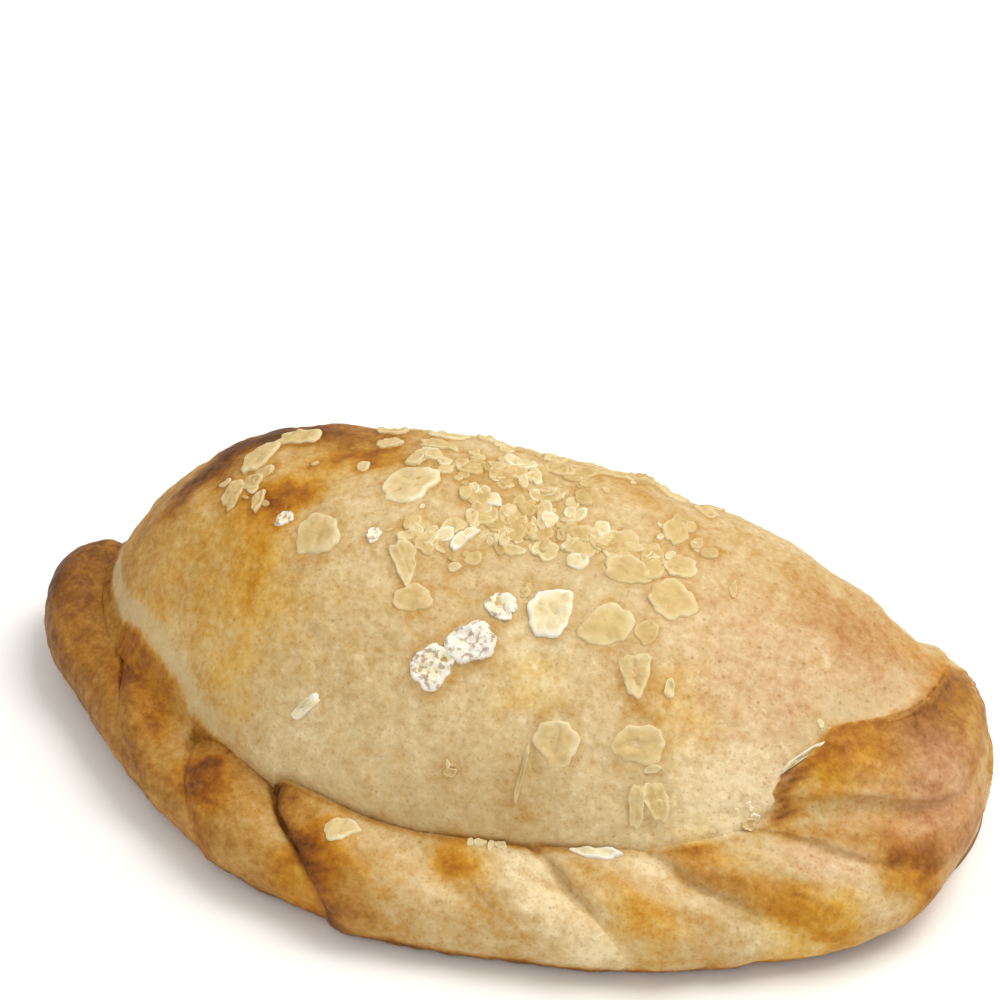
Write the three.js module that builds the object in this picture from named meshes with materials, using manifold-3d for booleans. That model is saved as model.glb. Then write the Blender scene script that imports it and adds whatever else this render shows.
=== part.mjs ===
// A baked empanada: a half-moon of wholemeal dough folded over its filling.
// The pocket is a dome that is steep at the folded back and slopes to the front.
// The sealed front edge is rolled into a rope of overlapping folds, and the last fold
// at the right end is a wide flap that lies on the dome. Rolled oats are baked onto it.
// Millimetres and degrees. X runs along the fold, -Y is the rope and +Z is up.
import * as THREE from "three";
import { mergeVertices } from "three/addons/utils/BufferGeometryUtils.js";
import Module from "manifold-3d";

const wasm = await Module();
wasm.setup();

// The pocket: where it starts, is highest and ends along X, and its depth and height.
const POCKET = { left: -63.5, crest: -5, right: 70, line: 15, front: 42, back: 23, high: 42.8 };
const CREST_SHIFT = 2.5;
const PLAN_FRONT = { left: 1.65, right: 2.1 };
const PLAN_BACK = { left: 2.0, right: 2.4 };
const RIDGE = { left: [2.6, 0.54], right: [2.1, 0.44] };
const FRONT_ROUND = 2.15;
const FOLD_EDGE = 0.3;
const BACK_TUCK = 9;
const SECTION_COUNT = 52;
const SECTION_STEPS = { front: 13, back: 7, tuck: 3 };

// The rope: its middle line, then half width, half height and inward tilt at each station.
const ROPE = [
  { x: -65.5, y: 20.5, z: 8.0, wide: 6.0, high: 6.8, tilt: 4 },
  { x: -63.5, y: 9.0, z: 6.6, wide: 7.0, high: 7.2, tilt: 8 },
  { x: -54.4, y: -1.9, z: 5.6, wide: 7.4, high: 7.0, tilt: 10 },
  { x: -41.4, y: -12.6, z: 5.6, wide: 7.2, high: 6.7, tilt: 12 },
  { x: -25.6, y: -22.2, z: 5.8, wide: 7.6, high: 7.0, tilt: 14 },
  { x: -6.0, y: -27.2, z: 5.8, wide: 7.4, high: 6.8, tilt: 16 },
  { x: 16.0, y: -25.8, z: 6.0, wide: 8.4, high: 7.0, tilt: 20 },
  { x: 35.0, y: -19.4, z: 7.0, wide: 9.8, high: 7.2, tilt: 26 },
  { x: 48.0, y: -11.4, z: 9.6, wide: 12.4, high: 7.4, tilt: 34 },
  { x: 55.9, y: -2.9, z: 12.2, wide: 15.0, high: 8.4, tilt: 40 },
  { x: 60.0, y: 9.2, z: 12.6, wide: 11.2, high: 9.2, tilt: 34 },
  { x: 58.8, y: 21.0, z: 12.0, wide: 8.0, high: 9.4, tilt: 24 },
  { x: 55.0, y: 30.5, z: 9.0, wide: 6.0, high: 7.0, tilt: 14 },
];
const ROPE_ROUND = 2.3;
const ROPE_CAP = 7;
const CAP_STOPS = [0.012, 0.05, 0.15, 0.35, 0.65];
const CAP_DROOP = 0.6;
const ROPE_FADE = 18;
const ROPE_AROUND = 24;
const ROPE_SAMPLES = 800;

// Each fold of the rope: where it starts along the rope, how deep and how soft it is, the shares
// of that depth left on the outer rim and at the inner seam, and its lean outwards and inwards.
// The last row is where the ninth fold would end.
const FOLDS = [
  { start: -10, deep: 1.2, soft: 0.7, rim: 0.4, seam: 1, outer: 0.95, inner: 0.95 },
  { start: 32, deep: 1.4, soft: 0.6, rim: 0.4, seam: 1, outer: 2.2, inner: 1.9 },
  { start: 52, deep: 2.0, soft: 0.5, rim: 0.4, seam: 1, outer: 1.2, inner: 0.95 },
  { start: 69.8, deep: 2.9, soft: 0.45, rim: 0.4, seam: 0.9, outer: 1.6, inner: 0.95 },
  { start: 93.5, deep: 1.2, soft: 1.0, rim: 0.2, seam: 0.3, outer: 1.2, inner: 0.95 },
  { start: 109.8, deep: 2.2, soft: 0.55, rim: 0.2, seam: 0.1, outer: 0.95, inner: 0.95 },
  { start: 124.9, deep: 1.9, soft: 0.6, rim: 0.1, seam: 0.1, outer: 1.6, inner: 1.15 },
  { start: 142, deep: 1.3, soft: 0.65, rim: 0, seam: 0.1, outer: 1.3, inner: 1.6 },
  { start: 151.3, deep: 2.9, soft: 0.42, rim: -0.8, seam: 0.1, outer: 1.4, inner: 1.8 },
  { start: 190, deep: 2.9, soft: 0.5, rim: -0.8, seam: 0.1, outer: 1.4, inner: 1.8 },
];
const FOLD_STEPS = [0.004, 0.06, 0.16, 0.32, 0.52, 0.75, 0.93];
const FOLD_LEVEL = 0.6;
const RIM_REACH = 1.2;
const SEAM_REACH = [-0.15, 0.5];

// The last flap's free edge swells where it lies on the pocket.
const LIP = { at: 153.2, before: 2.5, after: 14, angle: 145, around: 42, out: 3 };
const LIP_STOPS = [150.5, 153.2];

// Large oat flakes on the pocket: place in plan, length, width and turn.
const FLAKES = [
  [-33, 18.5, 7, 4.2, 0],
  [-37, 14, 7.2, 4.6, 80],
  [-38.5, 7, 4.2, 3.8, 85],
  [-33.5, 4, 4.5, 2.2, 95],
  [-22, -0.5, 7, 6.4, 110],
  [-12, 19, 7, 3, -5],
  [-12.5, 9.5, 8.6, 6.2, 45],
  [-8.5, -2.5, 7, 4, -56],
  [-5.5, -7, 4.8, 3.8, 10],
  [-2, 2.8, 5, 2.2, 63],
  [13.5, 7.5, 5.6, 5.2, 45],
  [17.7, 9.6, 5.6, 4.8, 45],
  [20.3, 5.2, 6.2, 4.6, 15],
  [24, 15, 6, 3.4, 100],
  [27.3, 3.4, 6.4, 6, 45],
  [20.4, -3.2, 7, 6, 40],
  [12.7, -4, 7, 6.6, 110],
  [6.2, -5, 5, 3.6, -36],
  [4, -10.2, 6.4, 5.8, 30],
  [-0.3, -13.7, 6, 5.2, 25],
  [25.7, -7.3, 7, 4.4, -60],
  [18.2, -16.5, 6, 5.6, 110],
  [28.5, -13.5, 6.6, 5.6, 25],
  [30.8, -17.4, 5.8, 5, 100],
];
const FLAKE_SIDES = 7;
const FLAKE_THICK = 0.8;
const FLAKE_SUNK = 0.8;
const FLAKE_TOP = 0.88;
const FLAKE_WAVE = [0.09, 0.07];

// One more flake lies on the rope: distance along it, angle round it, and its size.
const ROPE_FLAKE = { distance: 80, angle: 98, length: 5.4, width: 3.8, turn: -30 };

// Small flakes crowd the ridge in a sunflower pattern and spill down the back.
const CROWD = { x: 4, y: 15, reachX: 25, reachY: 15, count: 20, small: 3.6, large: 5.2, narrow: 0.72 };
const GOLDEN_ANGLE = Math.PI * (3 - Math.sqrt(5));
const GOLDEN_RATIO = (Math.sqrt(5) - 1) / 2;

// The dough reaches a little below the base plane, where a wide block cuts it level.
const BELOW = 1;
const LEVELLER = { side: 200, deep: 20 };
const PROBE = 0.5;

const clamp01 = (value) => Math.min(Math.max(value, 0), 1);
const smooth = (value) => clamp01(value) ** 2 * (3 - 2 * clamp01(value));
const signedPower = (value, power) => Math.sign(value) * Math.abs(value) ** power;

// One closed skin from rings of points, where a ring of one point closes an end.
function skin(rings) {
  const count = Math.max(...rings.map((ring) => ring.length));
  const starts = [];
  const positions = [];
  for (const ring of rings) {
    starts.push(positions.length / 3);
    ring.forEach((point) => positions.push(point.x, point.y, point.z));
  }
  const at = (row, step) => starts[row] + (rings[row].length === 1 ? 0 : step % count);
  const faces = [];
  for (let row = 0; row + 1 < rings.length; row += 1) {
    for (let step = 0; step < count; step += 1) {
      const [a, b] = [at(row, step), at(row + 1, step)];
      const [c, d] = [at(row + 1, step + 1), at(row, step + 1)];
      if (b !== c) faces.push(a, b, c);
      if (a !== d) faces.push(a, c, d);
    }
  }
  const geometry = new THREE.BufferGeometry();
  geometry.setAttribute("position", new THREE.Float32BufferAttribute(positions, 3));
  geometry.setIndex(faces);
  return geometry;
}

function solidFrom(geometry) {
  const bare = geometry.clone();
  bare.deleteAttribute("normal");
  bare.deleteAttribute("uv");
  const merged = mergeVertices(bare);
  const vertProperties = new Float32Array(merged.attributes.position.array);
  const triVerts = new Uint32Array(merged.index.array);
  return new wasm.Manifold(new wasm.Mesh({ numProp: 3, vertProperties, triVerts }));
}

function geometryFrom(solid) {
  const mesh = solid.getMesh();
  const geometry = new THREE.BufferGeometry();
  geometry.setAttribute("position", new THREE.BufferAttribute(mesh.vertProperties, 3));
  geometry.setIndex(new THREE.BufferAttribute(mesh.triVerts, 1));
  geometry.computeVertexNormals();
  return geometry;
}

// The pocket's plan outline, crest line and height at a place along X.
function pocketAt(x) {
  const isLeft = x < POCKET.crest;
  const reach = isLeft ? POCKET.left - POCKET.crest : POCKET.right - POCKET.crest;
  const t = clamp01((x - POCKET.crest) / reach);
  const front = isLeft ? PLAN_FRONT.left : PLAN_FRONT.right;
  const back = isLeft ? PLAN_BACK.left : PLAN_BACK.right;
  const [along, power] = isLeft ? RIDGE.left : RIDGE.right;
  const backShare = (1 - t ** back) ** (1 / back);
  return {
    front: POCKET.line - POCKET.front * (1 - t ** front) ** (1 / front),
    back: POCKET.line + POCKET.back * backShare,
    crest: POCKET.line + CREST_SHIFT * (1 - t * t),
    high: POCKET.high * (1 - t ** along) ** power,
    tuck: BACK_TUCK * backShare,
  };
}

function pocketTop(x, y) {
  const line = pocketAt(x);
  if (y < line.crest) {
    const share = clamp01((line.crest - y) / (line.crest - line.front));
    return line.high * (1 - share ** FRONT_ROUND) ** (1 / FRONT_ROUND);
  }
  const share = clamp01((y - line.crest) / (line.back - line.crest));
  return line.high * (FOLD_EDGE + (1 - FOLD_EDGE) * Math.sqrt(1 - share * share));
}

// One section across the pocket: up the front, over the crest, down to the fold edge,
// and tucked under to the base.
function pocketSection(x) {
  const line = pocketAt(x);
  const edge = line.high * FOLD_EDGE;
  const ring = [new THREE.Vector3(x, line.front, -BELOW)];
  for (let step = 0; step <= SECTION_STEPS.front; step += 1) {
    const angle = (step / SECTION_STEPS.front) * (Math.PI / 2);
    const y = line.crest - (line.crest - line.front) * Math.abs(Math.cos(angle)) ** (2 / FRONT_ROUND);
    ring.push(new THREE.Vector3(x, y, line.high * Math.sin(angle) ** (2 / FRONT_ROUND)));
  }
  for (let step = 1; step <= SECTION_STEPS.back; step += 1) {
    const angle = (step / SECTION_STEPS.back) * (Math.PI / 2);
    const y = line.crest + (line.back - line.crest) * Math.sin(angle);
    ring.push(new THREE.Vector3(x, y, edge + (line.high - edge) * Math.cos(angle)));
  }
  for (let step = 1; step <= SECTION_STEPS.tuck; step += 1) {
    const angle = (step / SECTION_STEPS.tuck) * (Math.PI / 2);
    const y = line.back - line.tuck * (1 - Math.cos(angle));
    ring.push(new THREE.Vector3(x, y, (edge + BELOW) * (1 - Math.sin(angle)) - BELOW));
  }
  return ring;
}

function pocket() {
  const rings = [[new THREE.Vector3(POCKET.left, POCKET.line, 0)]];
  for (let index = 1; index < SECTION_COUNT; index += 1) {
    const turn = (2 * index) / SECTION_COUNT - 1;
    const reach = turn < 0 ? POCKET.crest - POCKET.left : POCKET.right - POCKET.crest;
    rings.push(pocketSection(POCKET.crest + reach * Math.sin((turn * Math.PI) / 2)));
  }
  rings.push([new THREE.Vector3(POCKET.right, POCKET.line, 0)]);
  return skin(rings);
}

// The rope's stations as smooth curves, measured in plan along the rope.
function ropeTrack() {
  const line = new THREE.CatmullRomCurve3(
    ROPE.map((station) => new THREE.Vector3(station.x, station.y, station.z)), false, "catmullrom");
  const size = new THREE.CatmullRomCurve3(
    ROPE.map((station) => new THREE.Vector3(station.wide, station.high, station.tilt)), false, "catmullrom");
  const rows = [];
  let distance = 0;
  for (let index = 0; index <= ROPE_SAMPLES; index += 1) {
    const place = line.getPoint(index / ROPE_SAMPLES);
    const last = rows[rows.length - 1];
    if (last) distance += Math.hypot(place.x - last.place.x, place.y - last.place.y);
    rows.push({ distance, place, size: size.getPoint(index / ROPE_SAMPLES) });
  }
  return rows;
}

const TRACK = ropeTrack();
const ROPE_LENGTH = TRACK[TRACK.length - 1].distance;

function trackAt(distance) {
  const inside = Math.min(Math.max(distance, 0), ROPE_LENGTH);
  const next = Math.max(TRACK.findIndex((row) => row.distance >= inside), 1);
  const [from, to] = [TRACK[next - 1], TRACK[next]];
  const share = (inside - from.distance) / (to.distance - from.distance);
  return {
    place: from.place.clone().lerp(to.place, share),
    size: from.size.clone().lerp(to.size, share),
  };
}

// Past either end the rope goes straight on, so a leaning fold still has a place.
function ropeAt(distance) {
  const inside = Math.min(Math.max(distance, PROBE), ROPE_LENGTH - PROBE);
  const ahead = trackAt(inside + PROBE).place;
  const behind = trackAt(inside - PROBE).place;
  const along = new THREE.Vector2(ahead.x - behind.x, ahead.y - behind.y).normalize();
  const over = distance - Math.min(Math.max(distance, 0), ROPE_LENGTH);
  const { place, size } = trackAt(distance);
  place.x += over * along.x;
  place.y += over * along.y;
  return { place, size, outward: new THREE.Vector2(along.y, -along.x) };
}

// The fold that a distance along the rope is in, and its share of the way through it.
function foldAt(distance) {
  const last = FOLDS.length - 2;
  const next = FOLDS.findIndex((fold) => fold.start > distance);
  const index = next < 0 ? last : Math.min(Math.max(next - 1, 0), last);
  const [fold, after] = [FOLDS[index], FOLDS[index + 1]];
  return { fold, after, share: clamp01((distance - fold.start) / (after.start - fold.start)) };
}

// Each fold rises steeply from its crease and falls gently to the next one. Less of it is left
// on the outer rim and at the inner seam, and a rim share below 0 ends it before the rim.
function foldRelief(distance, across) {
  const { fold, after, share } = foldAt(distance);
  const between = (key) => THREE.MathUtils.lerp(fold[key], after[key], share);
  const [rimShare, seamShare] = [between("rim"), between("seam")];
  const rim = Math.max(rimShare + (1 - rimShare) * smooth((1 - across) / RIM_REACH), 0);
  const seam = 1 - (1 - seamShare) * smooth((-across - SEAM_REACH[0]) / SEAM_REACH[1]);
  const wave = fold.deep * Math.sin(Math.PI * share ** fold.soft);
  return (wave - FOLD_LEVEL * between("deep")) * rim * seam;
}

// How far along the rope a fold has run, for each millimetre of half width.
function foldLean(distance, across) {
  const { fold, after, share } = foldAt(distance);
  const side = across > 0 ? "outer" : "inner";
  return THREE.MathUtils.lerp(fold[side], after[side], share) * across;
}

function lip(distance, angle) {
  const off = distance - LIP.at;
  const along = off / (off < 0 ? LIP.before : LIP.after);
  const around = (THREE.MathUtils.radToDeg(angle) - LIP.angle) / LIP.around;
  return LIP.out * Math.exp(-(along ** 2) - around ** 2);
}

// A point of the rope's skin: a superellipse with the folds' relief, carried along the rope.
function ropePoint(distance, angle) {
  const fromEnd = Math.min(distance, ROPE_LENGTH - distance);
  const fade = smooth(fromEnd / ROPE_FADE);
  const capShare = clamp01(fromEnd / ROPE_CAP);
  const cap = Math.sqrt(1 - (1 - capShare) ** 2);
  const across = Math.cos(angle);
  const lean = foldLean(distance, across) * fade * trackAt(distance).size.x;
  const { place, size, outward } = ropeAt(distance + lean);
  const relief = foldRelief(distance, across) * fade + lip(distance, angle);
  const wide = (size.x + relief) * signedPower(across, 2 / ROPE_ROUND) * cap;
  const high = (size.y + relief) * signedPower(Math.sin(angle), 2 / ROPE_ROUND) * cap;
  const tilt = THREE.MathUtils.degToRad(size.z);
  const out = wide * Math.cos(tilt) + high * Math.sin(tilt);
  const droop = 1 - CAP_DROOP * (1 - cap);
  const up = place.z * droop - wide * Math.sin(tilt) + high * Math.cos(tilt);
  return new THREE.Vector3(place.x + outward.x * out, place.y + outward.y * out, up);
}

// Rings stand close together at each crease and further apart over the folds.
function ropeStops() {
  const starts = CAP_STOPS.map((share) => share * ROPE_CAP);
  const ends = CAP_STOPS.map((share) => ROPE_LENGTH - share * ROPE_CAP).reverse();
  const between = FOLDS.slice(0, -1).flatMap((fold, index) => {
    const reach = FOLDS[index + 1].start - fold.start;
    return FOLD_STEPS.map((share) => fold.start + share * reach);
  });
  const inner = [...between, ...LIP_STOPS].filter((stop) => stop > ROPE_CAP && stop < ROPE_LENGTH - ROPE_CAP);
  return [...starts, ...inner.sort((a, b) => a - b), ...ends];
}

function rope() {
  const rings = [[ropePoint(0, 0)]];
  for (const stop of ropeStops()) {
    const ring = [];
    for (let step = 0; step < ROPE_AROUND; step += 1) {
      ring.push(ropePoint(stop, (2 * Math.PI * step) / ROPE_AROUND));
    }
    rings.push(ring);
  }
  rings.push([ropePoint(ROPE_LENGTH, 0)]);
  return skin(rings);
}

// A flake is a thin uneven oval that lies on the crust and is sunk a little into it.
function flake(centre, up, [length, width, turn], order) {
  const heading = THREE.MathUtils.degToRad(turn);
  const along = new THREE.Vector3(Math.cos(heading), Math.sin(heading), 0);
  along.addScaledVector(up, -along.dot(up)).normalize();
  const across = new THREE.Vector3().crossVectors(up, along);
  const ring = (height, share) => Array.from({ length: FLAKE_SIDES }, (_, step) => {
    const angle = (-2 * Math.PI * step) / FLAKE_SIDES;
    const [twice, thrice] = [Math.sin(2 * angle + order), Math.sin(3 * angle + 2 * order)];
    const reach = (share * (1 + FLAKE_WAVE[0] * twice + FLAKE_WAVE[1] * thrice)) / 2;
    return centre.clone().addScaledVector(along, reach * length * Math.cos(angle))
      .addScaledVector(across, reach * width * Math.sin(angle))
      .addScaledVector(up, height);
  });
  const bottom = centre.clone().addScaledVector(up, -FLAKE_SUNK);
  const top = centre.clone().addScaledVector(up, FLAKE_THICK);
  return skin([[bottom], ring(-FLAKE_SUNK, 1), ring(FLAKE_THICK, FLAKE_TOP), [top]]);
}

function pocketFlake([x, y, ...shape], order) {
  const slopeX = (pocketTop(x + PROBE, y) - pocketTop(x - PROBE, y)) / (2 * PROBE);
  const slopeY = (pocketTop(x, y + PROBE) - pocketTop(x, y - PROBE)) / (2 * PROBE);
  const up = new THREE.Vector3(-slopeX, -slopeY, 1).normalize();
  return flake(new THREE.Vector3(x, y, pocketTop(x, y)), up, shape, order);
}

function ropeFlake({ distance, angle, length, width, turn }) {
  const around = THREE.MathUtils.degToRad(angle);
  const centre = ropePoint(distance, around);
  const along = ropePoint(distance + PROBE, around).sub(centre);
  const upward = ropePoint(distance, around + PROBE / ROPE_AROUND).sub(centre);
  return flake(centre, along.cross(upward).normalize(), [length, width, turn], 0);
}

function crowd() {
  return Array.from({ length: CROWD.count }, (_, index) => {
    const reach = Math.sqrt((index + 0.5) / CROWD.count);
    const angle = index * GOLDEN_ANGLE;
    const size = CROWD.small + (CROWD.large - CROWD.small) * ((index * GOLDEN_RATIO) % 1);
    return [
      CROWD.x + CROWD.reachX * reach * Math.cos(angle),
      CROWD.y + CROWD.reachY * reach * Math.sin(angle),
      size, size * CROWD.narrow, THREE.MathUtils.radToDeg(angle * 2),
    ];
  });
}

// Everything is one baked piece, cut level underneath and centred on its own box.
function empanada() {
  let solid = solidFrom(pocket()).add(solidFrom(rope()));
  const flakes = [...FLAKES, ...crowd()].map(pocketFlake);
  [...flakes, ropeFlake(ROPE_FLAKE)].forEach((piece) => {
    solid = solid.add(solidFrom(piece));
  });
  const { side, deep } = LEVELLER;
  const leveller = new THREE.BoxGeometry(side, side, deep).translate(0, 0, -deep / 2);
  const geometry = geometryFrom(solid.subtract(solidFrom(leveller)));
  geometry.computeBoundingBox();
  const middle = geometry.boundingBox.getCenter(new THREE.Vector3());
  return geometry.translate(-middle.x, -middle.y, 0);
}

function crustMaterial() {
  return new THREE.MeshStandardMaterial({ color: 0xd2a767, roughness: 0.62, metalness: 0 });
}

const model = new THREE.Group();
const body = new THREE.Mesh(empanada(), crustMaterial());
body.name = "empanada";
model.add(body);

export default model;
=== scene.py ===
# %% [markdown]
# # A baked empanada
# This notebook dresses one baked half-moon turnover for the camera. The real thing is wholemeal
# dough folded over a filling. Its sealed front edge is rolled into a rope of overlapping folds,
# and rolled oats are baked onto the top. The CAD model already gives its size and main shape,
# so everything here is worked out in the same frame and stands exactly where that model stands.

# %% Load the frame
import math

import bpy
import numpy as np
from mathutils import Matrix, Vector


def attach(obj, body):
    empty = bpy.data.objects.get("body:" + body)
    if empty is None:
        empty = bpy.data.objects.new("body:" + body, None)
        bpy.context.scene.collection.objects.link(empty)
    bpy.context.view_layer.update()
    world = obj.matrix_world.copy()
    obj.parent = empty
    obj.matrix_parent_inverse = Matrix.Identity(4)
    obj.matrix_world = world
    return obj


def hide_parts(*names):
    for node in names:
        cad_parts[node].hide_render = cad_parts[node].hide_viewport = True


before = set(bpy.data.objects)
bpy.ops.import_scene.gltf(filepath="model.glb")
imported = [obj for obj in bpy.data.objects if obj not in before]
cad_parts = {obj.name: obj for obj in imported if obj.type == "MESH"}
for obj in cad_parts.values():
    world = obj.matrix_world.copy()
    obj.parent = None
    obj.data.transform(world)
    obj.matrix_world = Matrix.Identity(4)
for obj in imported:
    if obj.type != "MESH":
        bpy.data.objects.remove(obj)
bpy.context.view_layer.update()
MM = 0.001

# %% [markdown]
# ## The camera
# The picture was taken from a little right of the front and well above. The pie sits low in it, so
# the camera looks at a point above the pie. Unlike a lens shift, that also works in other views.

# %% The camera
VIEW = {"azimuth": 20, "elevation": 42, "distance": 380, "field": 20.3}
SEEN_CENTRE = np.array([9, -11.3, 15])
SEEN_OFFSET = {"right": 0.007, "down": 0.26}

def cos_sin(degrees):
    """Cosine and sine of an angle in degrees."""
    return math.cos(math.radians(degrees)), math.sin(math.radians(degrees))

def linked(name, data):
    """A new object that is part of the scene."""
    item = bpy.data.objects.new(name, data)
    bpy.context.scene.collection.objects.link(item)
    return item

# Unit vectors to the camera, to its right and up.
(cos_a, sin_a), (cos_e, sin_e) = cos_sin(VIEW["azimuth"]), cos_sin(VIEW["elevation"])
back = np.array([sin_a * cos_e, -cos_a * cos_e, sin_e])
right = np.array([cos_a, sin_a, 0])
up = np.cross(back, right)
frame_width = 2 * VIEW["distance"] * math.tan(math.radians(VIEW["field"]) / 2)
camera_data = bpy.data.cameras.new("camera")
camera_data.angle = math.radians(VIEW["field"])
camera = linked("camera", camera_data)
bpy.context.scene.camera = camera
stand = SEEN_CENTRE + back * VIEW["distance"]
aim = SEEN_CENTRE + frame_width * (SEEN_OFFSET["down"] * up - SEEN_OFFSET["right"] * right)
camera.location = Vector(stand * MM)
camera.rotation_euler = Vector(stand - aim).to_track_quat("Z", "Y").to_euler()
print("the frame is", round(frame_width, 1), "mm wide at the pie")

# %% [markdown]
# ## Floor and light
# The pie lies on a plain white sheet under soft light. One wide lamp stands behind and to the
# right, as the shadow at the front left shows, and a bright sky fills in the rest.

# %% Floor and light
bpy.context.scene.view_settings.view_transform = "Standard"
FLOOR_SIDE = 3.0
SKY = {"colour": (1.0, 0.985, 0.94, 1), "strength": 0.72}
# Each lamp: its place in metres, side, power and colour.
LAMPS = {
    "key_lamp": ((0.28, 0.20, 0.68), 0.45, 3.8, (1.0, 0.98, 0.96)),
    "fill_lamp": ((0.15, -0.62, 0.50), 0.60, 0.7, (1, 1, 1)),
}

half = FLOOR_SIDE / 2
floor_mesh = bpy.data.meshes.new("floor")
floor_corners = [(-half, -half, 0), (half, -half, 0), (half, half, 0), (-half, half, 0)]
floor_mesh.from_pydata(floor_corners, [], [(0, 1, 2, 3)])
floor = linked("floor", floor_mesh)

def lamp(name, place, size, power, colour):
    """A square area lamp at a place in metres, turned to face the pie."""
    data = bpy.data.lights.new(name, "AREA")
    data.energy, data.size, data.color = power, size, colour
    item = linked(name, data)
    item.location = place
    item.rotation_euler = Vector(place).to_track_quat("Z", "Y").to_euler()

for name, settings in LAMPS.items():
    lamp(name, *settings)
world = bpy.data.worlds.new("studio")
bpy.context.scene.world = world
world.use_nodes = True
sky = world.node_tree.nodes["Background"].inputs
sky["Color"].default_value = SKY["colour"]
sky["Strength"].default_value = SKY["strength"]
print("the floor is", FLOOR_SIDE, "m wide, under", len(LAMPS), "lamps and the sky")

# %% [markdown]
# ## Small helpers for surfaces
# Each shape is a function of two numbers, worked out for a whole grid at once. All of them use
# these: a smooth step, a bell curve, a steady random ripple, a superellipse, and a grid's normals.

# %% Helpers for arrays
WAVE_SPREAD = (0.7, 1.4)
TINY = 1e-9

def smooth(t):
    """0 below 0 and 1 above 1, with an S-shaped rise of 3t^2 - 2t^3 between."""
    t = np.clip(t, 0, 1)
    return t * t * (3 - 2 * t)

def bell(*shares):
    """A bell curve: e to minus the sum of the squares of the shares."""
    return np.exp(-sum(share**2 for share in shares))

def signed_power(value, power):
    """The value's size raised to a power, with its sign kept."""
    return np.sign(value) * np.abs(value) ** power

def ripple(points, wavelength, seed, waves=20):
    """A smooth random field of spread about 1: the sum of plane waves in all directions, whose
    lengths are all close to one."""
    draw = np.random.default_rng(seed)
    ways = draw.normal(size=(waves, 3))
    ways /= np.linalg.norm(ways, axis=1, keepdims=True)
    ways *= 2 * np.pi / (wavelength * draw.uniform(*WAVE_SPREAD, (waves, 1)))
    phases = draw.uniform(0, 2 * np.pi, waves)
    return np.cos(points @ ways.T + phases).sum(-1) * math.sqrt(2 / waves)

def superellipse(u, v, power):
    """How far out a point lies, as a multiple of a superellipse whose half axes are 1."""
    return (np.abs(u) ** power + np.abs(v) ** power) ** (1 / power)

def lattice(rows, columns):
    """The two numbers of every grid point, as two arrays."""
    return np.meshgrid(rows, columns, indexing="ij")

def look_up(rows, place, *columns):
    """Columns of a table at places given in its first column, with straight lines between rows."""
    return [np.interp(place, rows[:, 0], rows[:, column]) for column in columns]

def own_axes(dx, dy, turn):
    """A step in plan as a step along and a step across a direction, which is turned in degrees."""
    c, s = cos_sin(turn)
    return dx * c + dy * s, dy * c - dx * s

def slopes(skin, u, v, probe):
    """The two slopes of a function of two numbers: the step from one probe before to one after."""
    return (
        (skin(u + probe, v) - skin(u - probe, v)) / (2 * probe),
        (skin(u, v + probe) - skin(u, v - probe)) / (2 * probe))

def unit(vectors):
    """Vectors scaled to length 1, where a zero vector stays zero."""
    length = np.linalg.norm(vectors, axis=-1, keepdims=True)
    return vectors / np.maximum(length, TINY)

def ring_normals(points):
    """Outward normals of a grid whose second axis runs round a ring: the cross product of the
    steps along it and round it."""
    along = np.gradient(points, axis=0)
    around = np.roll(points, -1, axis=1) - np.roll(points, 1, axis=1)
    return unit(np.cross(along, around))

# %% [markdown]
# ## The pocket
# The filled part is a dome. In plan it is a half-moon: the folded back is nearly straight and the
# front bulges. Across, it climbs a long round slope from the rope to the crest and then drops
# steeply to the fold. Superellipses give each of these curves with one or two numbers.

# %% The pocket's shape
# Along X: both ends and where the crest is highest. Across: the line of the two ends, and how far
# the front and the back stand out from it.
LEFT, CREST, RIGHT = -63.5, -5.0, 70.0
LINE, FRONT, BACK = 15.0, 42.0, 23.0
HIGH = 42.8
CREST_SHIFT = 2.5
PLAN_FRONT = (1.65, 2.1)
PLAN_BACK = (2.0, 2.4)
RIDGE_ALONG = (2.6, 2.1)
RIDGE_POWER = (0.54, 0.44)
FRONT_ROUND = 2.15
FOLD_EDGE = 0.3
BACK_TUCK = 9.0
THIN = 1e-6

def pocket_lines(x):
    """Front edge, back edge, crest line and height of the pocket at a place along X.
    Each is a superellipse in t, the share of the way from the crest to the left or right end."""
    left = x < CREST
    reach = np.where(left, LEFT, RIGHT) - CREST
    t = np.clip((x - CREST) / reach, 0, 1)
    front_power = np.where(left, *PLAN_FRONT)
    back_power = np.where(left, *PLAN_BACK)
    front = LINE - FRONT * (1 - t ** front_power) ** (1 / front_power)
    rear = LINE + BACK * (1 - t ** back_power) ** (1 / back_power)
    high = HIGH * (1 - t ** np.where(left, *RIDGE_ALONG)) ** np.where(left, *RIDGE_POWER)
    return front, rear, LINE + CREST_SHIFT * (1 - t * t), high

def pocket_top(x, y):
    """Height of the pocket over a plan position: a superellipse in front of the crest, and an
    ellipse behind it that ends at the fold edge."""
    front, rear, crest, high = pocket_lines(x)
    ahead = np.clip((crest - y) / np.maximum(crest - front, THIN), 0, 1)
    behind = np.clip((y - crest) / np.maximum(rear - crest, THIN), 0, 1)
    slope = high * (1 - ahead ** FRONT_ROUND) ** (1 / FRONT_ROUND)
    drop = high * (FOLD_EDGE + (1 - FOLD_EDGE) * np.sqrt(1 - behind ** 2))
    return np.where(y < crest, slope, drop)

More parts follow.
